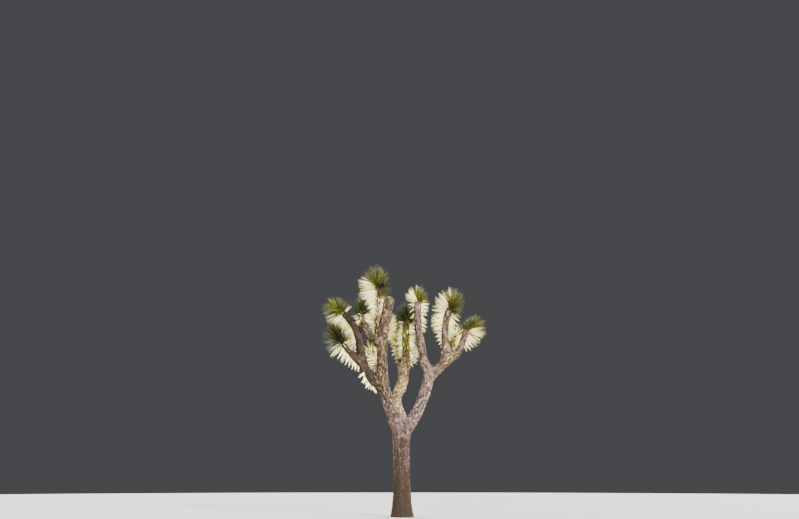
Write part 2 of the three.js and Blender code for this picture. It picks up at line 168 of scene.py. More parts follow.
class Graph:
    """A shader or geometry tree that is written as calls and expressions."""

    def __init__(self, tree: bpy.types.NodeTree) -> None:
        """Starts on an empty tree."""
        self.tree = tree

    def feed(self, target: bpy.types.NodeSocket, value: object) -> None:
        """Links a wire to an input, or sets the input to a value.

        Args:
            target: The input.
            value: A wire, or what the input holds.
        """
        if isinstance(value, Wire):
            self.tree.links.new(value.socket, target)
        else:
            target.default_value = value

    def add(
        self,
        kind: str,
        settings: Mapping[str, object] | None = None,
        inputs: Mapping[str | int, object] | None = None,
    ) -> Outputs:
        """Adds a node: its settings first, then its inputs.

        Args:
            kind: The node's type.
            settings: Its settings by name.
            inputs: Values or wires for its inputs, by name or place.

        Returns:
            The node's outputs.
        """
        node = self.tree.nodes.new(kind)
        for name, value in (settings or {}).items():
            setattr(node, name, value)
        for key, value in (inputs or {}).items():
            self.feed(node.inputs[key], value)
        return Outputs(self, node)

    def maths(self, operation: str, *operands: Wire | float) -> Wire:
        """A Math node on its operands."""
        node = self.add("ShaderNodeMath", {"operation": operation}, dict(enumerate(operands)))
        return node[0]

    def vector(self, operation: str, *operands: Wire | Triple) -> Wire:
        """A Vector Math node on its operands."""
        node = self.add("ShaderNodeVectorMath", {"operation": operation}, dict(enumerate(operands)))
        return node[0]

    def scaled(self, vector: Wire, factor: Wire | float) -> Wire:
        """A vector times a number."""
        node = self.add("ShaderNodeVectorMath", {"operation": "SCALE"}, {0: vector, "Scale": factor})
        return node[0]

    def joined(self, x: Wire | float, y: Wire | float, z: Wire | float) -> Wire:
        """A vector from three numbers."""
        return self.add("ShaderNodeCombineXYZ", None, {0: x, 1: y, 2: z})[0]

    def mix(self, factor: Wire | float, first: Wire | float, second: Wire | float) -> Wire:
        """A number between two, by a factor."""
        return self.add("ShaderNodeMix", {"data_type": "FLOAT"}, {0: factor, 2: first, 3: second})[0]

    def blend(self, factor: Wire | float, first: Wire | Colour, second: Wire | Colour) -> Wire:
        """A colour between two, by a factor."""
        ends = [end if isinstance(end, Wire) else (*end, 1.0) for end in (first, second)]
        return self.add("ShaderNodeMix", {"data_type": "RGBA"}, {0: factor, 6: ends[0], 7: ends[1]})[2]

    def noise(self, place: Wire, scale: float, detail: float = 2.0) -> Outputs:
        """A Noise Texture at a place."""
        inputs = {"Vector": place, "Scale": scale, "Detail": detail}
        return self.add("ShaderNodeTexNoise", None, inputs)

    def cells(self, place: Wire, feature: str) -> Outputs:
        """A Voronoi Texture of cells about 1 unit apart."""
        return self.add("ShaderNodeTexVoronoi", {"feature": feature}, {"Vector": place, "Scale": 1.0})


def new_material(name: str) -> tuple[bpy.types.Material, Graph]:
    """An empty node material.

    Args:
        name: Its name.

    Returns:
        The material and its tree.
    """
    material = bpy.data.materials.new(name)
    material.use_nodes = True
    material.node_tree.nodes.clear()
    return material, Graph(material.node_tree)


def close_material(graph: Graph, surface: Mapping[str, object]) -> None:
    """Ends a material in one Principled shader.

    Args:
        graph: The material's tree.
        surface: Values or wires for the shader's inputs.
    """
    shader = graph.add("ShaderNodeBsdfPrincipled", None, surface)
    graph.add("ShaderNodeOutputMaterial", None, {"Surface": shader["BSDF"]})


@dataclass(frozen=True)
class BarkFinish:
    """Corky bark in plates of uneven tone, mauve-grey on old wood and tan on young limbs.

    A band is the pair of values between which one look turns into the next.

    Attributes:
        furrow: The colour in the furrows.
        black: The colour of the darkest flecks.
        dark_mauve: The darker plates of old wood.
        mauve: The middling plates of old wood.
        pale_mauve: The paler plates of old wood.
        dark_tan: The darker plates of young limbs.
        tan: The middling plates of young limbs.
        pale_tan: The paler plates of young limbs.
        foot: The colour that the trunk's foot darkens to: painted shade, as the light falls off towards the
            ground.
        foot_share: How far that painted shade darkens it.
        foot_band: Height, from the dark foot of painted shade to the plain bark.
        layers: How many finer layers the patches and the flecks have.
        patch_scale: How fine the patches of greyer and tanner bark are.
        patch_share: How strong they are.
        warm_band: Warmth, from old wood to young.
        fleck_scale: How fine the flecks on the plates are.
        fleck_share: How strong they are.
        black_band: Tone, from black to dark.
        middle_band: Tone, from dark to middling.
        pale_band: Tone, from middling to pale.
        crown_band: Relief, from where no plate is pale to where one may be.
        furrow_band: Relief, from furrow to plate.
        grain_scale: How fine the grain is.
        grain_bump: The grain's part in the bump.
        fleck_bump: The flecks' part in the bump.
        bump_strength: How strong the bump is.
        bump_distance: How deep it is.
        roughness: How rough the furrows are.
        crown_polish: How much smoother the crowns of the plates are.
        specular: How much light the bark throws back.
    """

    furrow: Colour = (0.010, 0.007, 0.005)
    black: Colour = (0.011, 0.008, 0.005)
    dark_mauve: Colour = (0.030, 0.020, 0.016)
    mauve: Colour = (0.090, 0.062, 0.052)
    pale_mauve: Colour = (0.230, 0.165, 0.142)
    dark_tan: Colour = (0.030, 0.018, 0.008)
    tan: Colour = (0.090, 0.061, 0.025)
    pale_tan: Colour = (0.260, 0.188, 0.086)
    foot: Colour = (0.013, 0.008, 0.005)
    foot_share: float = 0.89
    foot_band: Band = (0.2, 2.2)
    layers: float = 3.0
    patch_scale: float = 5.5
    patch_share: float = 0.9
    warm_band: Band = (0.1, 0.9)
    fleck_scale: float = 52.0
    fleck_share: float = 0.95
    black_band: Band = (-0.35, 0.15)
    middle_band: Band = (0.15, 0.6)
    pale_band: Band = (0.58, 1.15)
    crown_band: Band = (0.3, 0.8)
    furrow_band: Band = (-0.05, 0.42)
    grain_scale: float = 160.0
    grain_bump: float = 0.35
    fleck_bump: float = 0.65
    bump_strength: float = 0.6
    bump_distance: float = 0.004
    roughness: float = 0.88
    crown_polish: float = 0.06
    specular: float = 0.08

    def material(self) -> bpy.types.Material:
        """The bark's material, which reads the relief, the tone and the warmth that the skin carries.

        Returns:
            The material.
        """
        material, graph = new_material("bark")
        place = graph.add("ShaderNodeTexCoord")["Object"]
        # The carried tone holds painted light and shade as well as the plates' own tone.
        carried = ({"attribute_name": name} for name in ("relief", "tone", "warmth"))
        relief, tone, warmth = (graph.add("ShaderNodeAttribute", named)["Fac"] for named in carried)
        patches = graph.noise(place, self.patch_scale, self.layers)[0]
        flecks = graph.noise(place, self.fleck_scale, self.layers)[0]
        grain = graph.noise(place, self.grain_scale)[0]
        warm = (warmth + (patches - 0.5) * self.patch_share).step(*self.warm_band)
        dark = graph.blend(warm, self.dark_mauve, self.dark_tan)
        middle = graph.blend(warm, self.mauve, self.tan)
        pale = graph.blend(warm, self.pale_mauve, self.pale_tan)
        mottled = tone + (flecks - 0.5) * self.fleck_share
        dark = graph.blend(mottled.step(*self.black_band), self.black, dark)
        plate = graph.blend(mottled.step(*self.middle_band), dark, middle)
        plate = graph.blend(mottled.step(*self.pale_band) * relief.step(*self.crown_band), plate, pale)
        colour = graph.blend(relief.step(*self.furrow_band), self.furrow, plate)
        height = graph.add("ShaderNodeSeparateXYZ", None, {0: place})[2]
        # Painted shade: the bark darkens towards the ground, where the light falls off.
        colour = graph.blend((1 - height.step(*self.foot_band)) * self.foot_share, colour, self.foot)
        bumps = grain * self.grain_bump + flecks * self.fleck_bump
        bump = {"Strength": self.bump_strength, "Distance": self.bump_distance, "Height": bumps}
        surface = {
            "Base Color": colour,
            "Roughness": self.roughness - relief * self.crown_polish,
            "Specular IOR Level": self.specular,
            "Normal": graph.add("ShaderNodeBump", None, bump)["Normal"],
        }
        close_material(graph, surface)
        return material


@dataclass(frozen=True)
class LeafFinish:
    """A stiff leaf's skin: one plain colour with a slight mottle, and a waxy or a dry surface.

    Attributes:
        tone: The tone of the leaves that it is for.
        colour: Their colour.
        mottle: The colour of the mottle on them.
        roughness: How rough they are.
        mottle_scale: How fine the mottle is.
        mottle_band: Its noise, from the colour to the mottle.
        mottle_roughness: How much rougher the mottle is.
        specular: How much light they throw back.
    """

    tone: Tone
    colour: Colour
    mottle: Colour
    roughness: float
    mottle_scale: float = 14.0
    mottle_band: Band = (0.4, 0.75)
    mottle_roughness: float = 0.1
    specular: float = 0.15

    def material(self) -> bpy.types.Material:
        """The material of the leaves of this tone.

        Returns:
            The material.
        """
        material, graph = new_material(f"leaf_{self.tone.value}")
        place = graph.add("ShaderNodeTexCoord")["Object"]
        patches = graph.noise(place, self.mottle_scale)[0]
        surface = {
            "Base Color": graph.blend(patches.step(*self.mottle_band), self.colour, self.mottle),
            "Roughness": self.roughness + patches * self.mottle_roughness,
            "Specular IOR Level": self.specular,
        }
        close_material(graph, surface)
        return material


LEAF_FINISHES = (
    # The near-black green is painted shade on green leaves.
    LeafFinish(Tone.DEEP_GREEN, (0.007, 0.010, 0.003), (0.014, 0.018, 0.004), 0.42),
    LeafFinish(Tone.GREEN, (0.040, 0.045, 0.007), (0.070, 0.072, 0.012), 0.45),
    LeafFinish(Tone.OLIVE, (0.100, 0.090, 0.006), (0.150, 0.128, 0.010), 0.50),
    LeafFinish(Tone.STRAW, (0.800, 0.690, 0.200), (0.860, 0.780, 0.320), 0.58),
    LeafFinish(Tone.CREAM, (0.950, 0.910, 0.560), (0.960, 0.940, 0.680), 0.58),
    LeafFinish(Tone.RUSSET, (0.150, 0.088, 0.026), (0.240, 0.150, 0.050), 0.65),
)


@dataclass(frozen=True)
class HeadPlan:
    """The leaves on one limb: where they grow, how long they are and how they are coloured.

    Azimuths are in degrees round the limb, from its front towards its right.

    Attributes:
        start: The share of the limb's length from which it carries leaves.
        size: How long its leaves are, against the common length.
        full_side: The azimuth of its fuller side, where the leaves are longer, and pale as painted light.
        skew: How much longer the leaves of the full side are.
        lowest: The length of the lowest leaves, against the highest.
        bare_at: The azimuth of the middle of the side that has lost its leaves.
        bare_half: Half the width of that side.
        bare_below: How far from the apex that side starts to be bare.
        pressed: Whether old leaves hang there against the bark instead.
        green: How far from the apex the leaves are green.
        climb: How far pale leaves, as painted light, reach towards the apex on the full side, as a share of
            the green.
        dark: How far from the apex the leaves are a star of mostly near-black green, as painted shade.
    """

    start: float
    size: float = 1.0
    full_side: float = 180.0
    skew: float = 0.0
    lowest: float = 0.5
    bare_at: float = 0.0
    bare_half: float = 0.0
    bare_below: float = 0.12
    pressed: bool = False
    green: float = 0.10
    climb: float = 0.3
    dark: float = 0.0

    def bare(self, depth: np.ndarray, turn: np.ndarray) -> np.ndarray:
        """Which places at distances from the apex and azimuths are on the bare side."""
        aside = np.abs((turn - self.bare_at + 180.0) % 360.0 - 180.0)
        return (depth > self.bare_below) & (aside < self.bare_half)


@dataclass(frozen=True)
class LimbPlan:
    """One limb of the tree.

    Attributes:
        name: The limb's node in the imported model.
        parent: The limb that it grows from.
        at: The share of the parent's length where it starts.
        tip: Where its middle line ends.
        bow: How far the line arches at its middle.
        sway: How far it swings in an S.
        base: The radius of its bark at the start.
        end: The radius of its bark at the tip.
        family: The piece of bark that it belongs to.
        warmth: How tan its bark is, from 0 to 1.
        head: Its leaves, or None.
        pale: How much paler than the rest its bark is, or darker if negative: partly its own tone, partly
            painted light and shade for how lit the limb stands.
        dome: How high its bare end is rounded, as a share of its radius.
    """

    name: str
    parent: str
    at: float
    tip: Triple
    bow: Triple
    sway: Triple
    base: float
    end: float
    family: Family
    warmth: float = 0.4
    head: HeadPlan | None = None
    pale: float = 0.0
    dome: float = 0.6


# The pale values are partly each limb's own tone and partly painted light and shade: limbs in shade are
# darkened, lit ones lightened.
LIMBS = (
    LimbPlan("bough_left", TRUNK, 0.96, (-0.260, -0.520, 3.965), (-0.255, 0.065, -0.015),
             (-0.010, 0.015, -0.010), 0.104, 0.110, Family.BOUGHS, warmth=0.6, pale=-0.22, dome=0.95),
    LimbPlan("bough_right", TRUNK, 0.955, (0.555, -0.100, 2.565), (0.090, 0.020, -0.045),
             (0.005, 0.010, -0.005), 0.100, 0.110, Family.BOUGHS, warmth=0.1, pale=0.08),
    LimbPlan("bough_middle", TRUNK, 0.97, (0.020, 0.120, 2.365), (-0.080, 0.005, 0.020),
             (0.050, 0.005, -0.005), 0.096, 0.100, Family.BOUGHS, warmth=0.8, pale=0.50),
    LimbPlan("limb_middle", "bough_middle", 0.9, (0.120, 0.380, 3.975), (0.055, 0.030, -0.015),
             (0.025, 0.000, -0.005), 0.098, 0.076, Family.RIGHT, warmth=0.95, pale=0.35,
             head=HeadPlan(0.42, 0.85, full_side=-100.0, skew=0.10, lowest=0.5, bare_at=0.0, bare_half=55.0,
                           bare_below=0.16, pressed=True, green=0.13, climb=0.8, dark=0.20)),
    LimbPlan("limb_centre", "bough_right", 0.93, (0.345, -0.480, 4.080), (-0.075, -0.020, -0.015),
             (0.010, 0.015, 0.005), 0.086, 0.076, Family.RIGHT, warmth=0.35,
             head=HeadPlan(0.55, 0.72, full_side=-90.0, skew=0.10, lowest=0.45, bare_at=-35.0, bare_half=95.0,
                           bare_below=0.12, green=0.13, climb=0.85)),
    LimbPlan("limb_fork_right", "bough_right", 0.93, (1.010, 0.000, 2.935), (0.005, -0.020, 0.000),
             (-0.005, 0.000, 0.005), 0.090, 0.086, Family.RIGHT, warmth=0.5),
    LimbPlan("limb_far_right", "limb_fork_right", 0.93, (1.490, 0.070, 3.620), (0.035, 0.015, -0.030),
             (0.030, 0.000, -0.020), 0.074, 0.064, Family.RIGHT, warmth=0.6, pale=-0.15,
             head=HeadPlan(0.42, 0.85, full_side=90.0, skew=0.35, lowest=0.5, bare_at=-35.0, bare_half=95.0,
                           bare_below=0.13, green=0.19, climb=0.55)),
    LimbPlan("limb_upright_right", "limb_fork_right", 0.86, (1.075, -0.280, 4.020), (-0.105, 0.010, 0.015),
             (0.005, 0.005, -0.005), 0.078, 0.072, Family.RIGHT, warmth=0.5,
             head=HeadPlan(0.50, 0.95, full_side=-95.0, skew=0.12, lowest=0.65, bare_at=0.0, bare_half=62.0,
                           bare_below=0.15, green=0.18, climb=0.7)),
    LimbPlan("limb_low_left", "bough_left", 0.3, (-1.365, -0.300, 3.890), (0.005, -0.055, 0.020),
             (-0.095, 0.025, -0.060), 0.078, 0.072, Family.LEFT, warmth=0.4, pale=-0.75,
             head=HeadPlan(0.45, 0.85, full_side=-110.0, skew=0.20, lowest=0.5, bare_at=45.0, bare_half=110.0,
                           bare_below=0.22, green=0.19, climb=0.5)),
    LimbPlan("limb_outer_left", "limb_low_left", 0.3, (-1.280, -0.550, 3.245), (-0.025, -0.005, -0.025),
             (0.000, 0.010, 0.005), 0.063, 0.057, Family.LEFT, warmth=0.6, pale=-0.45,
             head=HeadPlan(0.08, 0.95, full_side=-120.0, skew=0.15, lowest=0.32, bare_at=50.0,
                           bare_half=110.0, bare_below=0.22, green=0.18, climb=0.7, dark=0.17)),
    LimbPlan("limb_inner_left", "bough_left", 0.66, (-0.835, -0.400, 3.855), (-0.110, -0.030, -0.060),
             (0.010, 0.005, 0.000), 0.082, 0.068, Family.LEFT, warmth=0.5, pale=-0.28,
             head=HeadPlan(0.60, 0.75, lowest=0.6, green=0.10, climb=0.2, dark=0.17)),
    LimbPlan("limb_top", "bough_left", 0.63, (-0.530, 0.200, 4.715), (-0.055, 0.140, -0.055),
             (-0.010, 0.025, -0.015), 0.082, 0.070, Family.LEFT, warmth=0.6,
             head=HeadPlan(0.25, 1.1, full_side=-85.0, skew=0.20, lowest=0.3, green=0.42, climb=0.83)),
    LimbPlan("limb_back_1", "limb_middle", 0.12, (-0.115, 0.850, 3.745), (0.010, 0.065, -0.035),
             (0.000, -0.015, 0.010), 0.073, 0.068, Family.RIGHT, head=HeadPlan(0.45, 0.62)),
    LimbPlan("limb_back_2", "limb_middle", 0.28, (0.240, 0.950, 3.395), (-0.005, 0.060, -0.065),
             (0.000, -0.025, 0.025), 0.072, 0.067, Family.RIGHT, head=HeadPlan(0.36, 0.60)),
    LimbPlan("limb_back_3", "bough_left", 0.42, (-0.685, 0.750, 3.345), (-0.020, 0.035, -0.040),
             (0.010, -0.015, 0.015), 0.071, 0.065, Family.LEFT, head=HeadPlan(0.36, 0.60)),
    LimbPlan("limb_back_4", "limb_upright_right", 0.1, (0.880, 0.620, 4.005), (0.040, 0.100, -0.065),
             (0.000, 0.005, -0.010), 0.071, 0.066, Family.RIGHT, head=HeadPlan(0.34, 0.65)),
    LimbPlan("limb_back_5", "limb_fork_right", 0.6, (1.250, 0.800, 3.730), (-0.005, 0.055, -0.045),
             (0.000, -0.025, 0.020), 0.071, 0.066, Family.RIGHT, head=HeadPlan(0.34, 0.60)),
    LimbPlan("limb_back_6", "bough_left", 0.7, (-0.235, 0.550, 3.865), (-0.015, 0.020, -0.020),
             (0.010, -0.015, 0.015), 0.071, 0.066, Family.LEFT, head=HeadPlan(0.40, 0.70)),
    LimbPlan("limb_back_7", "limb_low_left", 0.45, (-1.215, 0.500, 3.710), (-0.005, 0.055, -0.050),
             (0.000, -0.025, 0.020), 0.070, 0.065, Family.LEFT, head=HeadPlan(0.34, 0.75)),
)


@dataclass(frozen=True)
class Nearness:
    """Where points are as a limb sees them.

    Attributes:
        gap: The distance from the limb's bark, below 0 inside it.
        place: The place in the limb's own axes: out of its front, to its side and along it.
        share: The share of the limb's length.
        outward: The direction straight out of the bark.
    """

    gap: np.ndarray
    place: np.ndarray
    share: np.ndarray
    outward: np.ndarray


class LimbLine:
    """A limb's middle line with the radius along it, by the rule of the solids.

    Attributes:
        COLLAR_SWELL: How much thicker a limb is where it leaves its parent.
        COLLAR_LENGTH: How far along it that fades.
        KNOT_SWELL: How much thicker its knots are, against its radius.
        KNOT_SPACING: How far apart they are.
        APEX_LENGTH: How far from its apex a leafy limb starts to narrow.
        APEX_RADIUS_SHARE: How thick it still is at the apex.
        APEX_CURVE: How late it narrows.
        MEASURING_POINTS: Over how many points its length is measured.
        SAMPLE_STEP: How far apart the samples of its line are.
        LEAST_WIDTH: How near to its line there is no clear direction out of it.
    """

    COLLAR_SWELL = 0.014
    COLLAR_LENGTH = 0.170
    KNOT_SWELL = 0.035
    KNOT_SPACING = 0.430
    APEX_LENGTH = 0.220
    APEX_RADIUS_SHARE = 0.5
    APEX_CURVE = 1.5
    MEASURING_POINTS = 201
    SAMPLE_STEP = 0.02
    LEAST_WIDTH = 0.001

    def __init__(self, plan: LimbPlan, order: int, start: np.ndarray) -> None:
        """Lays out the line.

        Args:
            plan: The limb's row.
            order: Its place in the table, which shifts its knots.
            start: Where it starts on its parent's line.
        """
        self.plan = plan
        self.order = order
        self.start = start
        self.reach = np.array(plan.tip) - start
        fine = self.point(np.linspace(0.0, 1.0, self.MEASURING_POINTS))
        self.length = float(np.linalg.norm(np.diff(fine, axis=0), axis=1).sum())
        self.shares = np.linspace(0.0, 1.0, math.ceil(self.length / self.SAMPLE_STEP) + 1)
        self.samples = self.point(self.shares)

    def point(self, share: np.ndarray | float) -> np.ndarray:
        """The points of the line.

        Args:
            share: Shares of its length.

        Returns:
            A point for each.
        """
        t = np.asarray(share, float)[..., None]
        bow = np.array(self.plan.bow) * 4.0 * t * (1.0 - t)
        sway = np.array(self.plan.sway) * np.sin(2.0 * np.pi * t)
        return self.start + self.reach * t + bow + sway

    def axes(self, share: np.ndarray | float) -> tuple[np.ndarray, np.ndarray, np.ndarray]:
        """The limb's own directions.

        Args:
            share: Shares of its length.

        Returns:
            For each the directions along the line, out of its front and to its side.
        """
        t = np.asarray(share, float)[..., None]
        bow = np.array(self.plan.bow) * 4.0 * (1.0 - 2.0 * t)
        sway = np.array(self.plan.sway) * 2.0 * np.pi * np.cos(2.0 * np.pi * t)
        along = unit(self.reach + bow + sway)
        front = unit(FRONT - along * (along @ FRONT)[..., None])
        return along, front, np.cross(along, front)

    def radius(self, share: np.ndarray | float) -> np.ndarray:
        """The bark's radius: a taper with a collar, knots and, on a leafy limb, a narrowing apex.

        Args:
            share: Shares of the length.

        Returns:
            A radius for each.
        """
        t = np.asarray(share, float)
        distance = t * self.length
        taper = self.plan.base + (self.plan.end - self.plan.base) * t
        collar = self.COLLAR_SWELL * np.exp(-distance / self.COLLAR_LENGTH)
        knots = 1.0 + self.KNOT_SWELL * np.sin(2.0 * np.pi * distance / self.KNOT_SPACING + self.order)
        near_apex = np.clip(1.0 - (self.length - distance) / self.APEX_LENGTH, 0.0, 1.0)
        narrowing = (1.0 - self.APEX_RADIUS_SHARE) * near_apex**self.APEX_CURVE
        return (taper + collar) * knots * (1.0 - narrowing * (self.plan.head is not None))

    def round_radius(self, share: np.ndarray, azimuth: np.ndarray) -> np.ndarray:
        """The radius at shares of the length and azimuths from the front. A limb is round."""
        return self.radius(share) + 0.0 * azimuth

    def holds(self, points: np.ndarray, margin: float) -> np.ndarray:
        """Which points are in the box round the line, grown by a margin."""
        low, high = self.samples.min(axis=0) - margin, self.samples.max(axis=0) + margin
        return ((points > low) & (points < high)).all(axis=1)

    def near(self, points: np.ndarray) -> Nearness:
        """How points lie to this limb.

        Args:
            points: The points, one a row.

        Returns:
            Their nearness.
        """
        nearest = nearest_rows(points, self.samples)
        along, front, side = (axis[nearest] for axis in self.axes(self.shares))
        offset = points - self.samples[nearest]
        forward = np.einsum("ij,ij->i", offset, along)
        share = np.clip(self.shares[nearest] + forward / self.length, 0.0, 1.0)
        slip = (share - self.shares[nearest]) * self.length
        out = offset - along * slip[:, None]
        width = np.linalg.norm(out, axis=1)
        columns = [np.einsum("ij,ij->i", offset, front), np.einsum("ij,ij->i", offset, side)]
        columns.append(self.shares[nearest] * self.length + forward)
        outward = out / np.maximum(width, self.LEAST_WIDTH)[:, None]
        return Nearness(width - self.radius(share), np.stack(columns, axis=1), share, outward)


class TrunkLine(LimbLine):
    """The trunk: upright at the foot and leaning to the fork, with a lobed flare at the ground.

    Attributes:
        HEIGHT: How high its line ends.
        LEAN: How far the line leans by then. Its bow takes the lean out of the foot.
        WAIST_RADIUS: Its radius between the foot and the fork.
        FOOT_RADIUS: Its radius at the ground.
        FLARE_HEIGHT: How high up the flare of the foot fades.
        FORK_SWELL: How much thicker it is at the fork.
        FORK_CURVE: How late it thickens.
        FOOT_LOBES: How many lobes the foot has.
        FOOT_LOBE_DEPTH: How deep they are, against the radius.
        PALE: How much darker than the rest its bark is, below 0: partly darker old bark and partly painted
            shade.
        DOME: How high its end is rounded under the fork, as a share of its radius.
    """

    HEIGHT = 1.480
    LEAN = -0.017
    WAIST_RADIUS = 0.147
    FOOT_RADIUS = 0.212
    FLARE_HEIGHT = 0.300
    FORK_SWELL = 0.025
    FORK_CURVE = 4
    FOOT_LOBES = 5
    FOOT_LOBE_DEPTH = 0.05
    PALE = -0.12
    DOME = 1.1

    def __init__(self) -> None:
        """Lays out the trunk's line."""
        plan = LimbPlan(TRUNK, "", 0.0, (self.LEAN, 0.0, self.HEIGHT), (-self.LEAN / 4.0, 0.0, 0.0),
                        (0.0, 0.0, 0.0), self.WAIST_RADIUS, self.WAIST_RADIUS, Family.BOUGHS,
                        warmth=0.0, pale=self.PALE, dome=self.DOME)
        super().__init__(plan, 0, np.zeros(3))

    def flare(self, share: np.ndarray | float) -> np.ndarray:
        """How strong the flare of the foot is at shares of the height."""
        return np.exp(-np.asarray(share, float) * self.HEIGHT / self.FLARE_HEIGHT)

    def radius(self, share: np.ndarray | float) -> np.ndarray:
        """The trunk's mean radius at shares of its height."""
        waist = self.WAIST_RADIUS + self.FORK_SWELL * np.asarray(share, float) ** self.FORK_CURVE
        return waist + (self.FOOT_RADIUS - self.WAIST_RADIUS) * self.flare(share)

    def round_radius(self, share: np.ndarray, azimuth: np.ndarray) -> np.ndarray:
        """The radius with the lobes of the foot."""
        lobes = 1.0 + self.FOOT_LOBE_DEPTH * self.flare(share) * np.cos(self.FOOT_LOBES * azimuth)
        return self.radius(share) * lobes


def unit(vectors: np.ndarray) -> np.ndarray:
    """The vectors at length 1."""
    return vectors / np.linalg.norm(vectors, axis=-1, keepdims=True)


def nearest_rows(points: np.ndarray, targets: np.ndarray, chunk: int = 20000) -> np.ndarray:
    """Which target each point is nearest to.

    Args:
        points: The points, one a row.
        targets: The targets, one a row.
        chunk: How many points are worked on at a time.

    Returns:
        For each point the row of its nearest target.
    """
    found = []
    size = (targets**2).sum(axis=1)
    for start in range(0, len(points), chunk):
        part = points[start : start + chunk]
        found.append(np.argmin(size - 2.0 * (part @ targets.T), axis=1))
    return np.concatenate(found) if found else np.zeros(0, int)


def distance_to(points: np.ndarray, targets: np.ndarray) -> np.ndarray:
    """For each point, the distance to the nearest target."""
    return np.linalg.norm(points - targets[nearest_rows(points, targets)], axis=1)


def grow_lines() -> dict[str, LimbLine]:
    """Lays out the trunk and every limb, each after its parent.

    Returns:
        Their lines by name.
    """
    lines: dict[str, LimbLine] = {TRUNK: TrunkLine()}
    for order, plan in enumerate(LIMBS):
        lines[plan.name] = LimbLine(plan, order, lines[plan.parent].point(plan.at))
    return lines


def mesh_object(name: str, points: np.ndarray, faces: Sequence[Sequence[int]]) -> bpy.types.Object:
    """A mesh object in the scene, at the origin.

    Args:
        name: Its name.
        points: Its vertices.
        faces: Its faces as rows of vertex numbers.

    Returns:
        The object.
    """
    mesh = bpy.data.meshes.new(name)
    mesh.from_pydata(np.asarray(points).tolist(), [], [list(face) for face in faces])
    made = bpy.data.objects.new(name, mesh)
    bpy.context.scene.collection.objects.link(made)
    return made


def store(mesh: bpy.types.Mesh, name: str, kind: str, values: np.ndarray) -> None:
    """Stores one value a vertex as a named attribute.

    Args:
        mesh: The mesh.
        name: The attribute's name.
        kind: FLOAT, INT or FLOAT_VECTOR.
        values: The values, one a row.
    """
    attribute = mesh.attributes.new(name, kind, "POINT")
    key = "vector" if kind == "FLOAT_VECTOR" else "value"
    number = np.int32 if kind == "INT" else np.float32
    attribute.data.foreach_set(key, np.ascontiguousarray(values, number).ravel())


def set_inputs(modifier: bpy.types.Modifier, values: Mapping[str, object]) -> None:
    """Sets a Geometry Nodes modifier's inputs through their sockets' identifiers.

    Args:
        modifier: The modifier, which has its tree.
        values: What each input holds, by the input's name.
    """
    for item in modifier.node_group.interface.items_tree:
        if item.item_type == "SOCKET" and item.in_out == "INPUT" and item.name in values:
            modifier[item.identifier] = values[item.name]


def baked(source: bpy.types.Object, name: str) -> bpy.types.Object:
    """The source with its modifiers applied, as a new plain mesh object. The source is removed.

    Args:
        source: The object that carries the modifiers.
        name: The new object's name.

    Returns:
        The new object.
    """
    depsgraph = bpy.context.evaluated_depsgraph_get()
    mesh = bpy.data.meshes.new_from_object(source.evaluated_get(depsgraph))
    bpy.data.objects.remove(source)
    mesh.name = name
    made = bpy.data.objects.new(name, mesh)
    bpy.context.scene.collection.objects.link(made)
    return made


def geometry_tree(name: str, inputs: Sequence[tuple[str, str]]) -> tuple[Graph, Outputs]:
    """An empty geometry tree with named inputs after its geometry.

    Args:
        name: The tree's name.
        inputs: Each further input's name and socket type.

    Returns:
        The tree's graph and its inputs.
    """
    tree = bpy.data.node_groups.new(name, "GeometryNodeTree")
    tree.interface.new_socket(name="Geometry", in_out="INPUT", socket_type="NodeSocketGeometry")
    for label, kind in inputs:
        tree.interface.new_socket(name=label, in_out="INPUT", socket_type=kind)
    tree.interface.new_socket(name="Geometry", in_out="OUTPUT", socket_type="NodeSocketGeometry")
    graph = Graph(tree)
    return graph, graph.add("NodeGroupInput")


def close_geometry(graph: Graph, geometry: Wire, material: Wire) -> None:
    """Ends a geometry tree with its instances realized and its material set.

    Args:
        graph: The tree's graph.
        geometry: What the tree has made.
        material: The material's input.
    """
    real = graph.add("GeometryNodeRealizeInstances", None, {"Geometry": geometry})["Geometry"]
    dressed = graph.add("GeometryNodeSetMaterial", None, {"Geometry": real, "Material": material})
    graph.add("NodeGroupOutput", None, {"Geometry": dressed["Geometry"]})


def named_attribute(graph: Graph, name: str, kind: str) -> Wire:
    """The values of a named attribute in a geometry tree."""
    return graph.add("GeometryNodeInputNamedAttribute", {"data_type": kind}, {"Name": name})["Attribute"]


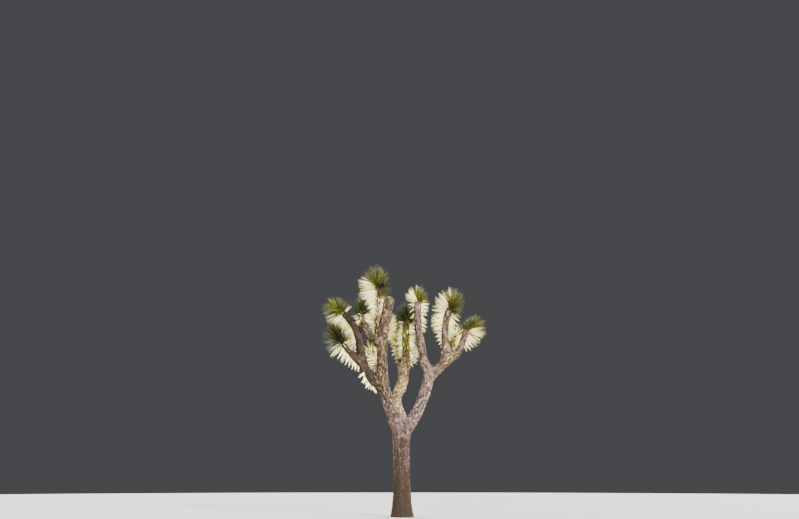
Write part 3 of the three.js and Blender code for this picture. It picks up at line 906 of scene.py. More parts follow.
@dataclass(frozen=True)
class PlatePattern:
    """How the bark breaks up into corky plates with furrows between them.

    Attributes:
        width: How wide a plate is.
        length: How long it is along the limb.
        bend_scale: How fine the bends in its edges are.
        bend: How far they bend, in plates.
        furrow: How wide half a furrow is, in plates.
        lowest: How high the lowest plate stands.
        unevenness: How much higher the highest one stands.
        scale_scale: How fine the thin scales on a plate are.
        scale_band: Their noise, from bare plate to scale.
        scale_rise: How high they stand.
        floor: How far the furrows' floor lies below 0.
    """

    width: float = 0.034
    length: float = 0.074
    bend_scale: float = 11.0
    bend: float = 1.7
    furrow: float = 0.2
    lowest: float = 0.5
    unevenness: float = 0.45
    scale_scale: float = 60.0
    scale_band: Band = (0.3, 0.7)
    scale_rise: float = 0.12
    floor: float = 0.05

    def relief(self, graph: Graph, place: Wire, inputs: Outputs) -> tuple[Wire, Wire]:
        """The height of the bark at a place.

        Args:
            graph: The geometry tree.
            place: The place in a limb's own axes.
            inputs: The tree's inputs.

        Returns:
            The height, from about 0 in a furrow to about 1 on a plate's crown, and the plate's own tone.
        """
        size = graph.joined(inputs["Plate Width"], inputs["Plate Width"], inputs["Plate Length"])
        bend = graph.vector("SUBTRACT", graph.noise(place, self.bend_scale)["Color"], (0.5, 0.5, 0.5))
        lattice = graph.vector("ADD", graph.vector("DIVIDE", place, size), graph.scaled(bend, self.bend))
        edge = graph.cells(lattice, "DISTANCE_TO_EDGE")["Distance"].step(0.0, self.furrow)
        dice = graph.add("ShaderNodeSeparateXYZ", None, {0: graph.cells(lattice, "F1")["Color"]})
        scales = graph.noise(place, self.scale_scale)["Fac"]
        plates = edge * (dice[0] * self.unevenness + self.lowest)
        return plates + scales.step(*self.scale_band) * self.scale_rise - self.floor, dice[1]


@dataclass
class BarkSkin:
    """One skin of bark over the trunk and all limbs, with rounded forks and furrowed plates.

    Attributes:
        lines: The trunk and limbs.
        finish: The bark's finish.
        pattern: Its plates.
        grain: The size of the skin's faces.
        ring_step: How far apart a limb's rings are.
        ring_sides: How many corners a ring has.
        dome_rings: How many rings round a limb's end.
        sunk: How far the trunk reaches into the ground before it is cut.
        survey_reach: How far round a limb's line points are measured to it.
        far_gap: The gap of points further off.
        behind: How far behind its start a limb fades out of its parent's bark.
        behind_gap: How much further off it counts there.
        pattern_shift: How far the plates of one limb are shifted against those of the one before.
        fork_fill: How far from a crease a fork is filled.
        trunk_fork_fill: How far from a crease the trunk's fork is.
        fill_height: How high the fill is in the crease, against that.
        hollow: How fast the fill sets in as the two barks turn to face each other.
        fork_rounds: How often the forks are smoothed.
        fork_seam: How far from a crease the plates of two limbs run into each other.
        tone_seam: How far the tones of limbs run into each other.
        trunk_relief: The depth of the furrows on the trunk.
        limb_relief: The depth of the furrows on the limbs.
        stem_relief: The depth of the furrows at a leafy apex.
        parent_relief: How far a bare limb's furrows come near the trunk's depth at its start.
        apex_smooth: How far from the apex the furrows get shallower.
        crown: The height of the pattern that lies in the plain skin.
        lump_scale: How fine the lumps under the plates are.
        swell: How high they are.
        warm_from: The share of a bough's length where it has grown as tan as it gets.
        trunk_shade: How much paler the trunk's foot is, below 0: painted shade, darker towards the ground.
        leafy_shade: How much paler the bark between leaves is, below 0 for the painted shade under them.
        coat_shade: How much paler the bark under pressed leaves is, below 0 for the painted shade under them.
        family_rounds: How often the borders between the pieces are smoothed.
    """

    lines: dict[str, LimbLine]
    finish: BarkFinish = field(default_factory=BarkFinish)
    pattern: PlatePattern = field(default_factory=PlatePattern)
    grain: float = 0.0085
    ring_step: float = 0.02
    ring_sides: int = 40
    dome_rings: int = 8
    sunk: float = 0.06
    survey_reach: float = 0.45
    far_gap: float = 9.0
    behind: float = 0.10
    behind_gap: float = 0.12
    pattern_shift: float = 7.3
    fork_fill: float = 0.20
    trunk_fork_fill: float = 0.28
    fill_height: float = 0.25
    hollow: float = 1.2
    fork_rounds: int = 18
    fork_seam: float = 0.045
    tone_seam: float = 0.05
    trunk_relief: float = 0.013
    limb_relief: float = 0.0085
    stem_relief: float = 0.004
    parent_relief: float = 0.5
    apex_smooth: float = 0.3
    crown: float = 0.6
    lump_scale: float = 7.0
    swell: float = 0.012
    warm_from: float = 0.55
    trunk_shade: float = -0.62
    leafy_shade: float = -0.12
    coat_shade: float = -1.0
    family_rounds: int = 12

    def tube(self, line: LimbLine) -> tuple[np.ndarray, list[tuple[int, ...]]]:
        """A closed round bar over one limb, with a dome at its end. The trunk's reaches into the ground.

        Args:
            line: The limb.

        Returns:
            Its vertices and faces.
        """
        azimuth = np.linspace(0.0, 2.0 * np.pi, self.ring_sides, endpoint=False)
        shares = np.linspace(0.0, 1.0, math.ceil(line.length / self.ring_step) + 1)
        along, front, side = line.axes(shares)
        out = front[:, None] * np.cos(azimuth)[:, None] + side[:, None] * np.sin(azimuth)[:, None]
        radius = line.round_radius(shares[:, None], azimuth[None, :])
        middles = line.point(shares)
        rings = list(middles[:, None] + out * radius[..., None])
        if line.plan.name == TRUNK:
            rings.insert(0, rings[0] - along[0] * self.sunk)
        height = line.plan.dome * float(line.radius(1.0))
        for angle in np.arange(1, self.dome_rings) * (np.pi / 2.0 / self.dome_rings):
            centre = middles[-1] + along[-1] * height * math.sin(angle)
            rings.append(centre + out[-1] * radius[-1][:, None] * math.cos(angle))
        points = np.concatenate([*rings, [rings[0].mean(axis=0), middles[-1] + along[-1] * height]])
        sides = self.ring_sides
        last = (len(rings) - 1) * sides
        faces: list[tuple[int, ...]] = []
        for corner in range(sides):
            beside = (corner + 1) % sides
            faces.append((len(points) - 2, beside, corner))
            faces.append((len(points) - 1, last + corner, last + beside))
            for ring in range(0, last, sides):
                faces.append((ring + corner, ring + beside, ring + sides + beside, ring + sides + corner))
        return points, faces

    def rough_skin(self) -> bpy.types.Object:
        """Fuses all tubes to one closed skin of even faces.

        Returns:
            The skin.
        """
        points, faces, count = [], [], 0
        for line in self.lines.values():
            tube_points, tube_faces = self.tube(line)
            points.append(tube_points)
            faces.extend(tuple(corner + count for corner in face) for face in tube_faces)
            count += len(tube_points)
        rough = mesh_object("rough_bark", np.concatenate(points), faces)
        fuse = rough.modifiers.new("fuse", "REMESH")
        fuse.mode = "VOXEL"
        fuse.voxel_size = self.grain
        return baked(rough, "fused_bark")

    def survey(self, points: np.ndarray) -> Nearness:
        """How points lie to every limb.

        Args:
            points: The points.

        Returns:
            Their nearness, with a row for each limb. A far limb's gap is large.
        """
        gaps = np.full((len(self.lines), len(points)), self.far_gap)
        places = np.zeros((len(self.lines), len(points), 3))
        shares = np.zeros((len(self.lines), len(points)))
        outward = np.zeros((len(self.lines), len(points), 3))
        for row, line in enumerate(self.lines.values()):
            rows = np.flatnonzero(line.holds(points, self.survey_reach))
            near = line.near(points[rows])
            root = np.clip(1.0 - near.place[:, 2] / self.behind, 0.0, None) * (row > 0)
            gaps[row, rows] = near.gap + root * self.behind_gap
            places[row, rows] = near.place + np.array([0.0, 0.0, self.pattern_shift * row])
            shares[row, rows] = near.share
            outward[row, rows] = near.outward
        return Nearness(gaps, places, shares, outward)

    def relief_depth(self, line: LimbLine, share: np.ndarray) -> np.ndarray:
        """How deep the furrows are. A bare limb's get deeper towards its parent.

        Args:
            line: The limb.
            share: Shares of its length.

        Returns:
            A depth for each.
        """
        if line.plan.name == TRUNK:
            return np.full(share.shape, self.trunk_relief)
        if line.plan.head is None:
            deeper = self.parent_relief * (self.trunk_relief - self.limb_relief)
            return self.limb_relief + deeper * (1.0 - share)
        near_apex = np.clip(1.0 - (1.0 - share) * line.length / self.apex_smooth, 0.0, 1.0)
        return self.limb_relief + (self.stem_relief - self.limb_relief) * near_apex

    def stem_shade(self, line: LimbLine, share: np.ndarray) -> np.ndarray:
        """How much paler the bark is along a limb. It is darker at the foot and under leaves, as painted
        shade.

        Args:
            line: The limb.
            share: Shares of its length.

        Returns:
            A shade for each.
        """
        if line.plan.name == TRUNK:
            # Painted shade: the trunk darkens towards its foot.
            return self.trunk_shade * (1.0 - share)
        if line.plan.head is None:
            return np.zeros(share.shape)
        # Painted shade: a leafy shoot's bark is darkened under its leaves.
        shade = self.coat_shade if line.plan.head.pressed else self.leafy_shade
        return shade * (share > line.plan.head.start)

    def warmth_at(self, line: LimbLine, share: np.ndarray) -> np.ndarray:
        """How tan the bark is at shares of a limb's length. A bough starts as grey as the trunk."""
        grown = np.clip(share / self.warm_from, 0.0, 1.0) if line.plan.parent == TRUNK else 1.0
        return line.plan.warmth * grown

    def round_forks(
        self,
        mesh: bpy.types.Mesh,
        seen: Nearness,
        nearest: np.ndarray,
        step: np.ndarray,
    ) -> None:
        """Fills and smooths the creases where the barks of two limbs face each other.

        Args:
            mesh: The skin.
            seen: How its vertices lie to every limb.
            nearest: The rows of the two limbs nearest to each vertex.
            step: How much further off the second one is.
        """
        points = read_points(mesh)
        normals = np.zeros(len(points) * 3, np.float32)
        mesh.vertex_normals.foreach_get("vector", normals)
        own, next_one = nearest
        every = np.arange(len(points))
        breadth = np.where((own == 0) | (next_one == 0), self.trunk_fork_fill, self.fork_fill)
        crease = np.clip(1.0 - step / breadth, 0.0, 1.0)
        facing = np.einsum("ij,ij->i", seen.outward[own, every], seen.outward[next_one, every])
        fill = self.fill_height * breadth * crease**2 * np.clip(self.hollow * (1.0 - facing), 0.0, 1.0)
        points = points + normals.reshape(-1, 3) * fill[:, None]
        points = smoothed(points, read_edges(mesh), np.sqrt(crease), self.fork_rounds)
        mesh.vertices.foreach_set("co", points.astype(np.float32).ravel())

    def mark(self, mesh: bpy.types.Mesh, seen: Nearness, nearest: np.ndarray, step: np.ndarray) -> None:
        """Stores on each vertex what the relief and the finish need.

        Args:
            mesh: The skin.
            seen: How its vertices lie to every limb.
            nearest: The rows of the two limbs nearest to each vertex.
            step: How much further off the second one is.
        """
        own, next_one = nearest
        every = np.arange(len(step))
        share_of_next = 0.5 * np.clip(1.0 - step / self.fork_seam, 0.0, 1.0)
        depth, warmth, pale = (np.zeros(len(step)) for _ in range(3))
        say = np.exp(-np.clip(seen.gap, 0.0, None) / self.tone_seam)
        say /= say.sum(axis=0)
        for row, line in enumerate(self.lines.values()):
            weight = np.where(own == row, 1.0 - share_of_next, 0.0)
            weight += np.where(next_one == row, share_of_next, 0.0)
            depth += weight * self.relief_depth(line, seen.share[row])
            warmth += say[row] * self.warmth_at(line, seen.share[row])
            # The pale attribute carries each limb's own tone with painted light and shade, and the painted
            # shade at the foot and under leaves.
            pale += say[row] * (line.plan.pale + self.stem_shade(line, seen.share[row]))
        store(mesh, "place", "FLOAT_VECTOR", seen.place[own, every])
        store(mesh, "next_place", "FLOAT_VECTOR", seen.place[next_one, every])
        store(mesh, "next_share", "FLOAT", share_of_next)
        store(mesh, "relief_depth", "FLOAT", depth)
        store(mesh, "warmth", "FLOAT", warmth)
        store(mesh, "pale", "FLOAT", pale)

    def shape(self, skin: bpy.types.Object) -> np.ndarray:
        """Rounds the forks and marks every vertex.

        Args:
            skin: The fused skin.

        Returns:
            For each vertex the row of the limb that it is on.
        """
        mesh = skin.data
        seen = self.survey(read_points(mesh))
        nearest = np.argsort(seen.gap, axis=0)[:2]
        first, second = np.take_along_axis(seen.gap, nearest, axis=0)
        step = second - first
        self.round_forks(mesh, seen, nearest, step)
        self.mark(mesh, seen, nearest, step)
        return nearest[0]

    def relief_tree(self) -> bpy.types.NodeTree:
        """The geometry tree that presses the furrows into the skin.

        Returns:
            The tree.
        """
        inputs = [("Plate Width", "NodeSocketFloat"), ("Plate Length", "NodeSocketFloat"),
                  ("Swell", "NodeSocketFloat"), ("Material", "NodeSocketMaterial")]
        graph, given = geometry_tree("bark_relief", inputs)
        first, second = (self.pattern.relief(graph, named_attribute(graph, name, "FLOAT_VECTOR"), given)
                         for name in ("place", "next_place"))
        share = named_attribute(graph, "next_share", "FLOAT")
        height, tone = (graph.mix(share, one, other) for one, other in zip(first, second))
        # The pale attribute brings painted light and shade into the plates' tone.
        tone = tone + named_attribute(graph, "pale", "FLOAT")
        place = graph.add("GeometryNodeInputPosition")["Position"]
        lumps = graph.noise(place, self.lump_scale)["Fac"] - 0.5
        depth = named_attribute(graph, "relief_depth", "FLOAT")
        rise = (height - self.crown) * depth + lumps * given["Swell"]
        normal = graph.add("GeometryNodeInputNormal")["Normal"]
        offset = graph.scaled(normal, rise)
        marked = given["Geometry"]
        for name, value in (("relief", height), ("tone", tone)):
            kept = {"Geometry": marked, "Name": name, "Value": value}
            settings = {"data_type": "FLOAT", "domain": "POINT"}
            marked = graph.add("GeometryNodeStoreNamedAttribute", settings, kept)["Geometry"]
        moved = graph.add("GeometryNodeSetPosition", None, {"Geometry": marked, "Offset": offset})["Geometry"]
        smooth = graph.add("GeometryNodeSetShadeSmooth", None, {"Geometry": moved, "Shade Smooth": True})
        close_geometry(graph, smooth["Geometry"], given["Material"])
        return graph.tree

    def split(self, skin: bpy.types.Object, own: np.ndarray) -> list[bpy.types.Object]:
        """Cuts the skin at the ground and parts it by family, each part closed where it meets the next.

        Args:
            skin: The finished skin.
            own: For each vertex the row of its limb.

        Returns:
            One object for each family.
        """
        mesh = skin.data
        rows_of = [list(Family).index(line.plan.family) for line in self.lines.values()]
        member = np.eye(len(Family))[np.array(rows_of)[own]]
        member = smoothed(member, read_edges(mesh), np.ones(len(member)), self.family_rounds)
        store(mesh, "family", "INT", member.argmax(axis=1))
        parts = []
        for row, family in enumerate(Family):
            part = bpy.data.objects.new(family.value, mesh.copy())
            bpy.context.scene.collection.objects.link(part)
            close_part(part.data, row)
            parts.append(part)
        bpy.data.objects.remove(skin)
        return parts

    def build(self) -> list[bpy.types.Object]:
        """Builds, dresses and places the bark.

        Returns:
            The pieces of bark.
        """
        skin = self.rough_skin()
        own = self.shape(skin)
        press = skin.modifiers.new("relief", "NODES")
        press.node_group = self.relief_tree()
        sizes = {"Plate Width": self.pattern.width, "Plate Length": self.pattern.length, "Swell": self.swell}
        set_inputs(press, {**sizes, "Material": self.finish.material()})
        parts = self.split(baked(skin, "bark"), own)
        for part, family in zip(parts, Family):
            nodes = [name for name, line in self.lines.items() if line.plan.family is family]
            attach(part, BODY)
            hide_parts(*nodes)
        return parts


def read_points(mesh: bpy.types.Mesh) -> np.ndarray:
    """Reads a mesh's vertices.

    Args:
        mesh: The mesh.

    Returns:
        The vertices, one a row.
    """
    flat = np.zeros(len(mesh.vertices) * 3, np.float32)
    mesh.vertices.foreach_get("co", flat)
    return flat.reshape(-1, 3).astype(float)


def read_edges(mesh: bpy.types.Mesh) -> np.ndarray:
    """Reads a mesh's edges.

    Args:
        mesh: The mesh.

    Returns:
        Each edge's two vertex numbers, one edge a row.
    """
    flat = np.zeros(len(mesh.edges) * 2, np.int32)
    mesh.edges.foreach_get("vertices", flat)
    return flat.reshape(-1, 2)


def smoothed(values: np.ndarray, edges: np.ndarray, weight: np.ndarray, rounds: int) -> np.ndarray:
    """Draws each row of values towards the mean of its neighbours.

    Args:
        values: One row for each vertex.
        edges: The vertices that are neighbours.
        weight: How much each row moves, from 0 to 1.
        rounds: How often.

    Returns:
        The new values.
    """
    ends = np.concatenate([edges[:, 0], edges[:, 1]])
    others = np.concatenate([edges[:, 1], edges[:, 0]])
    count = np.maximum(np.bincount(ends, minlength=len(values)), 1)
    for _ in range(rounds):
        sums = [np.bincount(ends, values[others, column], len(values)) for column in range(values.shape[1])]
        mean = np.stack(sums, axis=1) / count[:, None]
        values = values + (mean - values) * 0.5 * weight[:, None]
    return values


def close_part(mesh: bpy.types.Mesh, family: int) -> None:
    """Keeps one family's faces above the ground and closes the mesh where it was cut.

    Args:
        mesh: The mesh, which carries each vertex's family.
        family: The family to keep.
    """
    form = bmesh.new()
    form.from_mesh(mesh)
    layer = form.verts.layers.int["family"]
    others = [face for face in form.faces if max_family(face, layer) != family]
    bmesh.ops.delete(form, geom=others, context="FACES")
    whole = form.verts[:] + form.edges[:] + form.faces[:]
    bmesh.ops.bisect_plane(form, geom=whole, plane_co=(0, 0, 0), plane_no=(0, 0, 1), clear_inner=True)
    rims = [edge for edge in form.edges if edge.is_boundary]
    for edge in rims:
        edge.smooth = False
    lids = bmesh.ops.holes_fill(form, edges=rims, sides=0)["faces"]
    for lid in lids:
        lid.smooth = False
    bmesh.ops.triangulate(form, faces=lids)
    form.to_mesh(mesh)
    form.free()


def max_family(face: bmesh.types.BMFace, layer: bmesh.types.BMLayerItem) -> int:
    """The family that a face goes to: the highest of its corners."""
    return max(corner[layer] for corner in face.verts)


@dataclass(frozen=True)
class LeafPlaces:
    """Where leaves go, one a row.

    Attributes:
        root: Where each leaf starts, inside the stem.
        direction: Which way it points.
        face: Which way its upper side faces.
        reach: How long it is.
        depth: How far from the apex it grows.
        azimuth: Round the stem from its front, in degrees.
    """

    root: np.ndarray
    direction: np.ndarray
    face: np.ndarray
    reach: np.ndarray
    depth: np.ndarray
    azimuth: np.ndarray

    def tips(self) -> np.ndarray:
        """Where the leaves end."""
        return self.root + self.direction * self.reach[:, None]

    @classmethod
    def joined(cls, parts: "Sequence[LeafPlaces]") -> "LeafPlaces":
        """All rows of several parts in one."""
        columns = ([getattr(part, name) for part in parts] for name in cls.__dataclass_fields__)
        return cls(*map(np.concatenate, columns))

    def kept(self, chosen: np.ndarray) -> "LeafPlaces":
        """Only the chosen rows."""
        return LeafPlaces(*(getattr(self, name)[chosen] for name in self.__dataclass_fields__))


@dataclass(frozen=True)
class LeafRule:
    """How leaves stand on a shoot: spiralling down from the apex, fanned evenly over the head's dome.

    Attributes:
        finer: How many leaves there are for each one of the solids.
        sprays: How many sprays they stand in.
        angle_spread: How far a leaf strays from its angle, in degrees.
        turn_spread: How far it strays round the shoot, in degrees.
        gather: How far an old leaf leans to the middle of its spray.
        green_gather: How far a green one does.
        like_spray: How far a leaf takes the length of its spray.
        length: How far a leaf stands out of the bark on a head of size 1.
        length_spread: How much leaves differ in that.
        head_leaves: How many leaves of the solids the dome of a head has.
        head_depth: How far down from the apex the dome reaches.
        pitch: How far apart the leaves of the solids grow below it.
        skirt_angle: The angle from the stem at the dome's lower edge, in degrees.
        droop_angle: The angle of the lowest leaves.
        pressed_angle: The angle of old leaves pressed against the bark.
        pressed_size: How long those are, against the rest.
        pressed_root_share: How far from the stem's middle they start, against its radius.
        pressed_finer: How many times as many of them there are.
        golden_angle: The turn from one leaf to the next, in degrees.
        root_share: How far from the stem's middle a leaf starts, against its radius.
        lowest_leaf: How far above the leafy shoot's start the lowest leaf grows.
        checks: The shares of a leaf's length at which its room is tried.
        shorter: The lengths that it is tried at, against its own.
        clearance: How far it stays from the bark of other limbs.
        limb_margin: How far round a limb's line its bark may reach.
    """

    finer: int = 32
    sprays: int = 5
    angle_spread: float = 12.0
    turn_spread: float = 7.0
    gather: float = 0.92
    green_gather: float = 0.45
    like_spray: float = 0.6
    length: float = 0.315
    length_spread: float = 0.30
    head_leaves: int = 24
    head_depth: float = 0.190
    pitch: float = 0.033
    skirt_angle: float = 103.0
    droop_angle: float = 125.0
    pressed_angle: float = 161.0
    pressed_size: float = 0.55
    pressed_root_share: float = 0.82
    pressed_finer: int = 2
    golden_angle: float = 137.508
    root_share: float = 0.35
    lowest_leaf: float = 0.075
    checks: tuple[float, ...] = (0.3, 0.5, 0.7, 0.85, 1.0)
    shorter: tuple[float, ...] = (1.0, 0.82, 0.66, 0.5)
    clearance: float = 0.008
    limb_margin: float = 0.13

    def opening(self, share: np.ndarray) -> np.ndarray:
        """The angle from the stem at shares of the head, in radians."""
        return np.arccos(1.0 - share * (1.0 - math.cos(math.radians(self.skirt_angle))))

    def spread(
        self,
        line: LimbLine,
        finer: int,
        random: np.random.Generator,
        hanging: bool = False,
    ) -> LeafPlaces:
        """The places of a shoot's leaves before any is left out for want of room.

        Args:
            line: The limb.
            finer: How many leaves there are for each one of the solids.
            random: The source of chance.
            hanging: Whether to give the old leaves on the bare side in place of the others.

        Returns:
            The places.
        """
        plan = line.plan.head
        first = self.head_leaves * finer
        pitch = self.pitch / finer
        leafy = (1.0 - plan.start) * line.length - self.lowest_leaf
        index = np.arange(first + round((leafy - self.head_depth) / pitch))
        in_head = np.minimum(1.0, index / first)
        depth = in_head * self.head_depth + np.maximum(0, index - first) * pitch
        turn = (index * self.golden_angle + 180.0) % 360.0 - 180.0
        turn = turn + self.turn_spread * (random.random(len(index)) - 0.5)
        bare = plan.bare(depth, turn)
        stray = np.radians(self.angle_spread) * (random.random(len(index)) - 0.5)
        droop = (self.droop_angle - self.skirt_angle) * np.maximum(0.0, depth - self.head_depth)
        opening = self.opening(in_head) + np.radians(droop / (leafy - self.head_depth))
        opening = np.where(bare, math.radians(self.pressed_angle), opening) + stray
        fuller = 1.0 + plan.skew * np.cos(np.radians(turn - plan.full_side)) * np.sin(opening)
        length = self.length * plan.size * (1.0 + (plan.lowest - 1.0) * depth / leafy) * fuller
        length = length * np.where(bare, self.pressed_size, 1.0)
        size = length * (1.0 + self.length_spread * (random.random(len(index)) - 0.5))
        share = 1.0 - depth / line.length
        root = np.where(bare, self.pressed_root_share, self.root_share) * line.radius(share)
        leaves = self.stand(line, share, turn, opening, root, size, depth)
        return leaves.kept(bare if hanging else ~bare)

    def stand(
        self,
        line: LimbLine,
        share: np.ndarray,
        turn: np.ndarray,
        opening: np.ndarray,
        root_radius: np.ndarray,
        size: np.ndarray,
        depth: np.ndarray,
    ) -> LeafPlaces:
        """Turns places on a limb into leaves in space.

        Args:
            line: The limb.
            share: The share of its length.
            turn: The azimuth from the front, in degrees.
            opening: The angle from the limb's line, in radians.
            root_radius: How far from the line each leaf starts.
            size: How far each leaf stands out of the bark.
            depth: How far from the apex it grows.

        Returns:
            The places.
        """
        along, front, side = line.axes(share)
        angle = np.radians(turn)[:, None]
        out = front * np.cos(angle) + side * np.sin(angle)
        root = line.point(share) + out * root_radius[:, None]
        lean = opening[:, None]
        direction = along * np.cos(lean) + out * np.sin(lean)
        face = along * np.sin(lean) - out * np.cos(lean)
        reach = size + line.radius(share) - root_radius
        return LeafPlaces(root, direction, face, reach, depth, turn)

    def gathered(self, fine: LeafPlaces, sprays: LeafPlaces, green: float) -> tuple[LeafPlaces, np.ndarray]:
        """Leans each leaf towards the middle of its spray.

        Args:
            fine: The leaves.
            sprays: The sprays, each as one leaf.
            green: How far from the apex the leaves are green.

        Returns:
            The leaves, and the row of each one's spray.
        """
        spray = nearest_rows(fine.tips(), sprays.tips())
        lean = np.where(fine.depth < green, self.green_gather, self.gather)[:, None]
        aim = fine.tips() + (sprays.tips()[spray] - fine.tips()) * lean
        direction = unit(aim - fine.root)
        face = unit(fine.face - direction * np.einsum("ij,ij->i", fine.face, direction)[:, None])
        reach = fine.reach + (sprays.reach[spray] - fine.reach) * self.like_spray
        return LeafPlaces(fine.root, direction, face, reach, fine.depth, fine.azimuth), spray

    def fitted(
        self,
        leaves: LeafPlaces,
        own: np.ndarray,
        others: np.ndarray,
        barks: Sequence[LimbLine],
    ) -> tuple[LeafPlaces, np.ndarray]:
        """Shortens leaves until they keep to their own mass's space and clear of the other limbs.

        Args:
            leaves: The leaves.
            own: Points down the middle of the mass's own stem.
            others: Points down the middles of the other masses' stems.
            barks: The other limbs.

        Returns:
            The leaves that found room, and which rows they were.
        """
        reach = np.zeros(len(leaves.reach))
        left = np.arange(len(leaves.reach))
        for share in self.shorter:
            part = leaves.kept(left)
            clear = np.ones(len(left), bool)
            for check in self.checks:
                points = part.root + part.direction * (part.reach * share * check)[:, None]
                clear &= distance_to(points, others) > distance_to(points, own)
                for line in barks:
                    rows = np.flatnonzero(clear & line.holds(points, self.limb_margin))
                    if len(rows):
                        clear[rows] &= line.near(points[rows]).gap > self.clearance
            reach[left[clear]] = part.reach[clear] * share
            left = left[~clear]
        rows = np.flatnonzero(reach > 0)
        kept = leaves.kept(rows)
        return LeafPlaces(kept.root, kept.direction, kept.face, reach[rows], kept.depth, kept.azimuth), rows


@dataclass(frozen=True)
class ToneRule:
    """How the tones are dealt to the sprays of a head.

    Attributes:
        softness: How softly green turns into pale along the shoot.
        strays: The share of leaves that keep a tone of their own in their spray.
        star_least: How deep the star of a dark head is at the least, against its plan.
        star_spread: How much deeper it is at the most.
        green_mix: The shares of the tones among green leaves, whose near-black share is painted shade.
        star_mix: Among the leaves of a dark star, which is painted shade.
        pressed_mix: Among leaves pressed against the bark, whose near-black share is painted shade.
        pale_mix: Among old leaves.
    """

    softness: float = 0.009
    strays: float = 0.16
    star_least: float = 0.85
    star_spread: float = 0.3
    green_mix: Mix = ((Tone.GREEN, 0.66), (Tone.DEEP_GREEN, 0.23), (Tone.OLIVE, 0.11))
    star_mix: Mix = ((Tone.DEEP_GREEN, 0.80), (Tone.GREEN, 0.16), (Tone.OLIVE, 0.04))
    pressed_mix: Mix = ((Tone.OLIVE, 0.60), (Tone.DEEP_GREEN, 0.20), (Tone.GREEN, 0.16), (Tone.STRAW, 0.04))
    pale_mix: Mix = ((Tone.CREAM, 0.52), (Tone.STRAW, 0.40), (Tone.OLIVE, 0.05), (Tone.RUSSET, 0.03))

    def drawn(self, mix: Mix, chance: np.ndarray) -> np.ndarray:
        """Draws tones from a mix.

        Args:
            mix: The mix.
            chance: A number between 0 and 1 for each draw.

        Returns:
            For each the tone's place in the Enum.
        """
        order = list(Tone)
        bounds = np.cumsum([share for _, share in mix])
        picks = np.minimum(np.searchsorted(bounds, chance), len(mix) - 1)
        return np.array([order.index(tone) for tone, _ in mix])[picks]

    def deal(self, plan: HeadPlan, leaves: LeafPlaces, random: np.random.Generator) -> np.ndarray:
        """The tone of each leaf, as its place in the Enum.

        Args:
            plan: Which says where the head is green and pale, where painted light makes it pale, and where
                painted shade makes it dark.
            leaves: The leaves or sprays.
            random: The source of chance.

        Returns:
            One number for each leaf.
        """
        # Painted light: pale leaves reach nearer the apex on the full side, as if that side were lit.
        to_painted_light_side = np.cos(np.radians(leaves.azimuth - plan.full_side))
        edge = plan.green * (1.0 - plan.climb * np.clip(to_painted_light_side, 0.0, 1.0))
        green = random.random(len(edge)) < 1.0 / (1.0 + np.exp((leaves.depth - edge) / self.softness))
        chance = random.random(len(edge))
        tones = np.where(green, self.drawn(self.green_mix, chance), self.drawn(self.pale_mix, chance))
        hanging = plan.bare(leaves.depth, leaves.azimuth)
        tones = np.where(hanging, self.drawn(self.pressed_mix, chance), tones)
        # Painted shade: a star of mostly near-black leaves round the apex.
        dark = leaves.depth < plan.dark * (self.star_least + self.star_spread * random.random(len(edge)))
        return np.where(dark, self.drawn(self.star_mix, chance), tones)


@dataclass(frozen=True)
class SkirtPlan:
    """The old skirt of pale leaves along the underside of the low left limb.

    Attributes:
        limb: The limb that it hangs from.
        start: The share of the limb's length where it starts.
        end: Where it ends.
        margin: How far inside those its leaves grow.
        centre: The azimuth of its middle, in degrees from the limb's front.
        half_angle: Half its width round the limb, in degrees.
        pitch: How far apart its leaves would be if each stood for a spray.
        sprays: How many sprays there are for each of those.
        angle_spread: How much the angles of its leaves differ, in degrees.
        angle_lift: The part of that spread that points up the limb.
        first_size: How far its first leaves stand out.
        full_size: How far the longest ones do.
        full_from: How far past the first leaf they are full length, as a share of the limb.
        size_spread: How much shorter its leaves may be.
        depth: How far from an apex its leaves count as growing.
    """

    limb: str = "limb_low_left"
    start: float = 0.06
    end: float = 0.40
    margin: float = 0.02
    centre: float = -105.0
    half_angle: float = 50.0
    pitch: float = 0.024
    sprays: int = 1
    angle_spread: float = 34.0
    angle_lift: float = 0.3
    first_size: float = 0.05
    full_size: float = 0.16
    full_from: float = 0.10
    size_spread: float = 0.5
    depth: float = 1.0

    def spread(self, rule: LeafRule, line: LimbLine, finer: int, random: np.random.Generator) -> LeafPlaces:
        """The places of the skirt's leaves.

        Args:
            rule: How leaves stand.
            line: The limb.
            finer: How many leaves there are for each pitch.
            random: The source of chance.

        Returns:
            The places.
        """
        count = round((self.end - self.start) * line.length / self.pitch * finer)
        share = np.linspace(self.start + self.margin, self.end - self.margin, count)
        turn = self.centre + self.half_angle * (2.0 * random.random(count) - 1.0)
        opening = np.radians(rule.skirt_angle + self.angle_spread * (random.random(count) - self.angle_lift))
        grown = np.clip((share - share[0]) / self.full_from, 0.0, 1.0)
        size = self.first_size + (self.full_size - self.first_size) * grown
        size = size * (1.0 - self.size_spread * random.random(count))
        root = rule.root_share * line.radius(share)
        return rule.stand(line, share, turn, opening, root, size, np.full(count, self.depth))


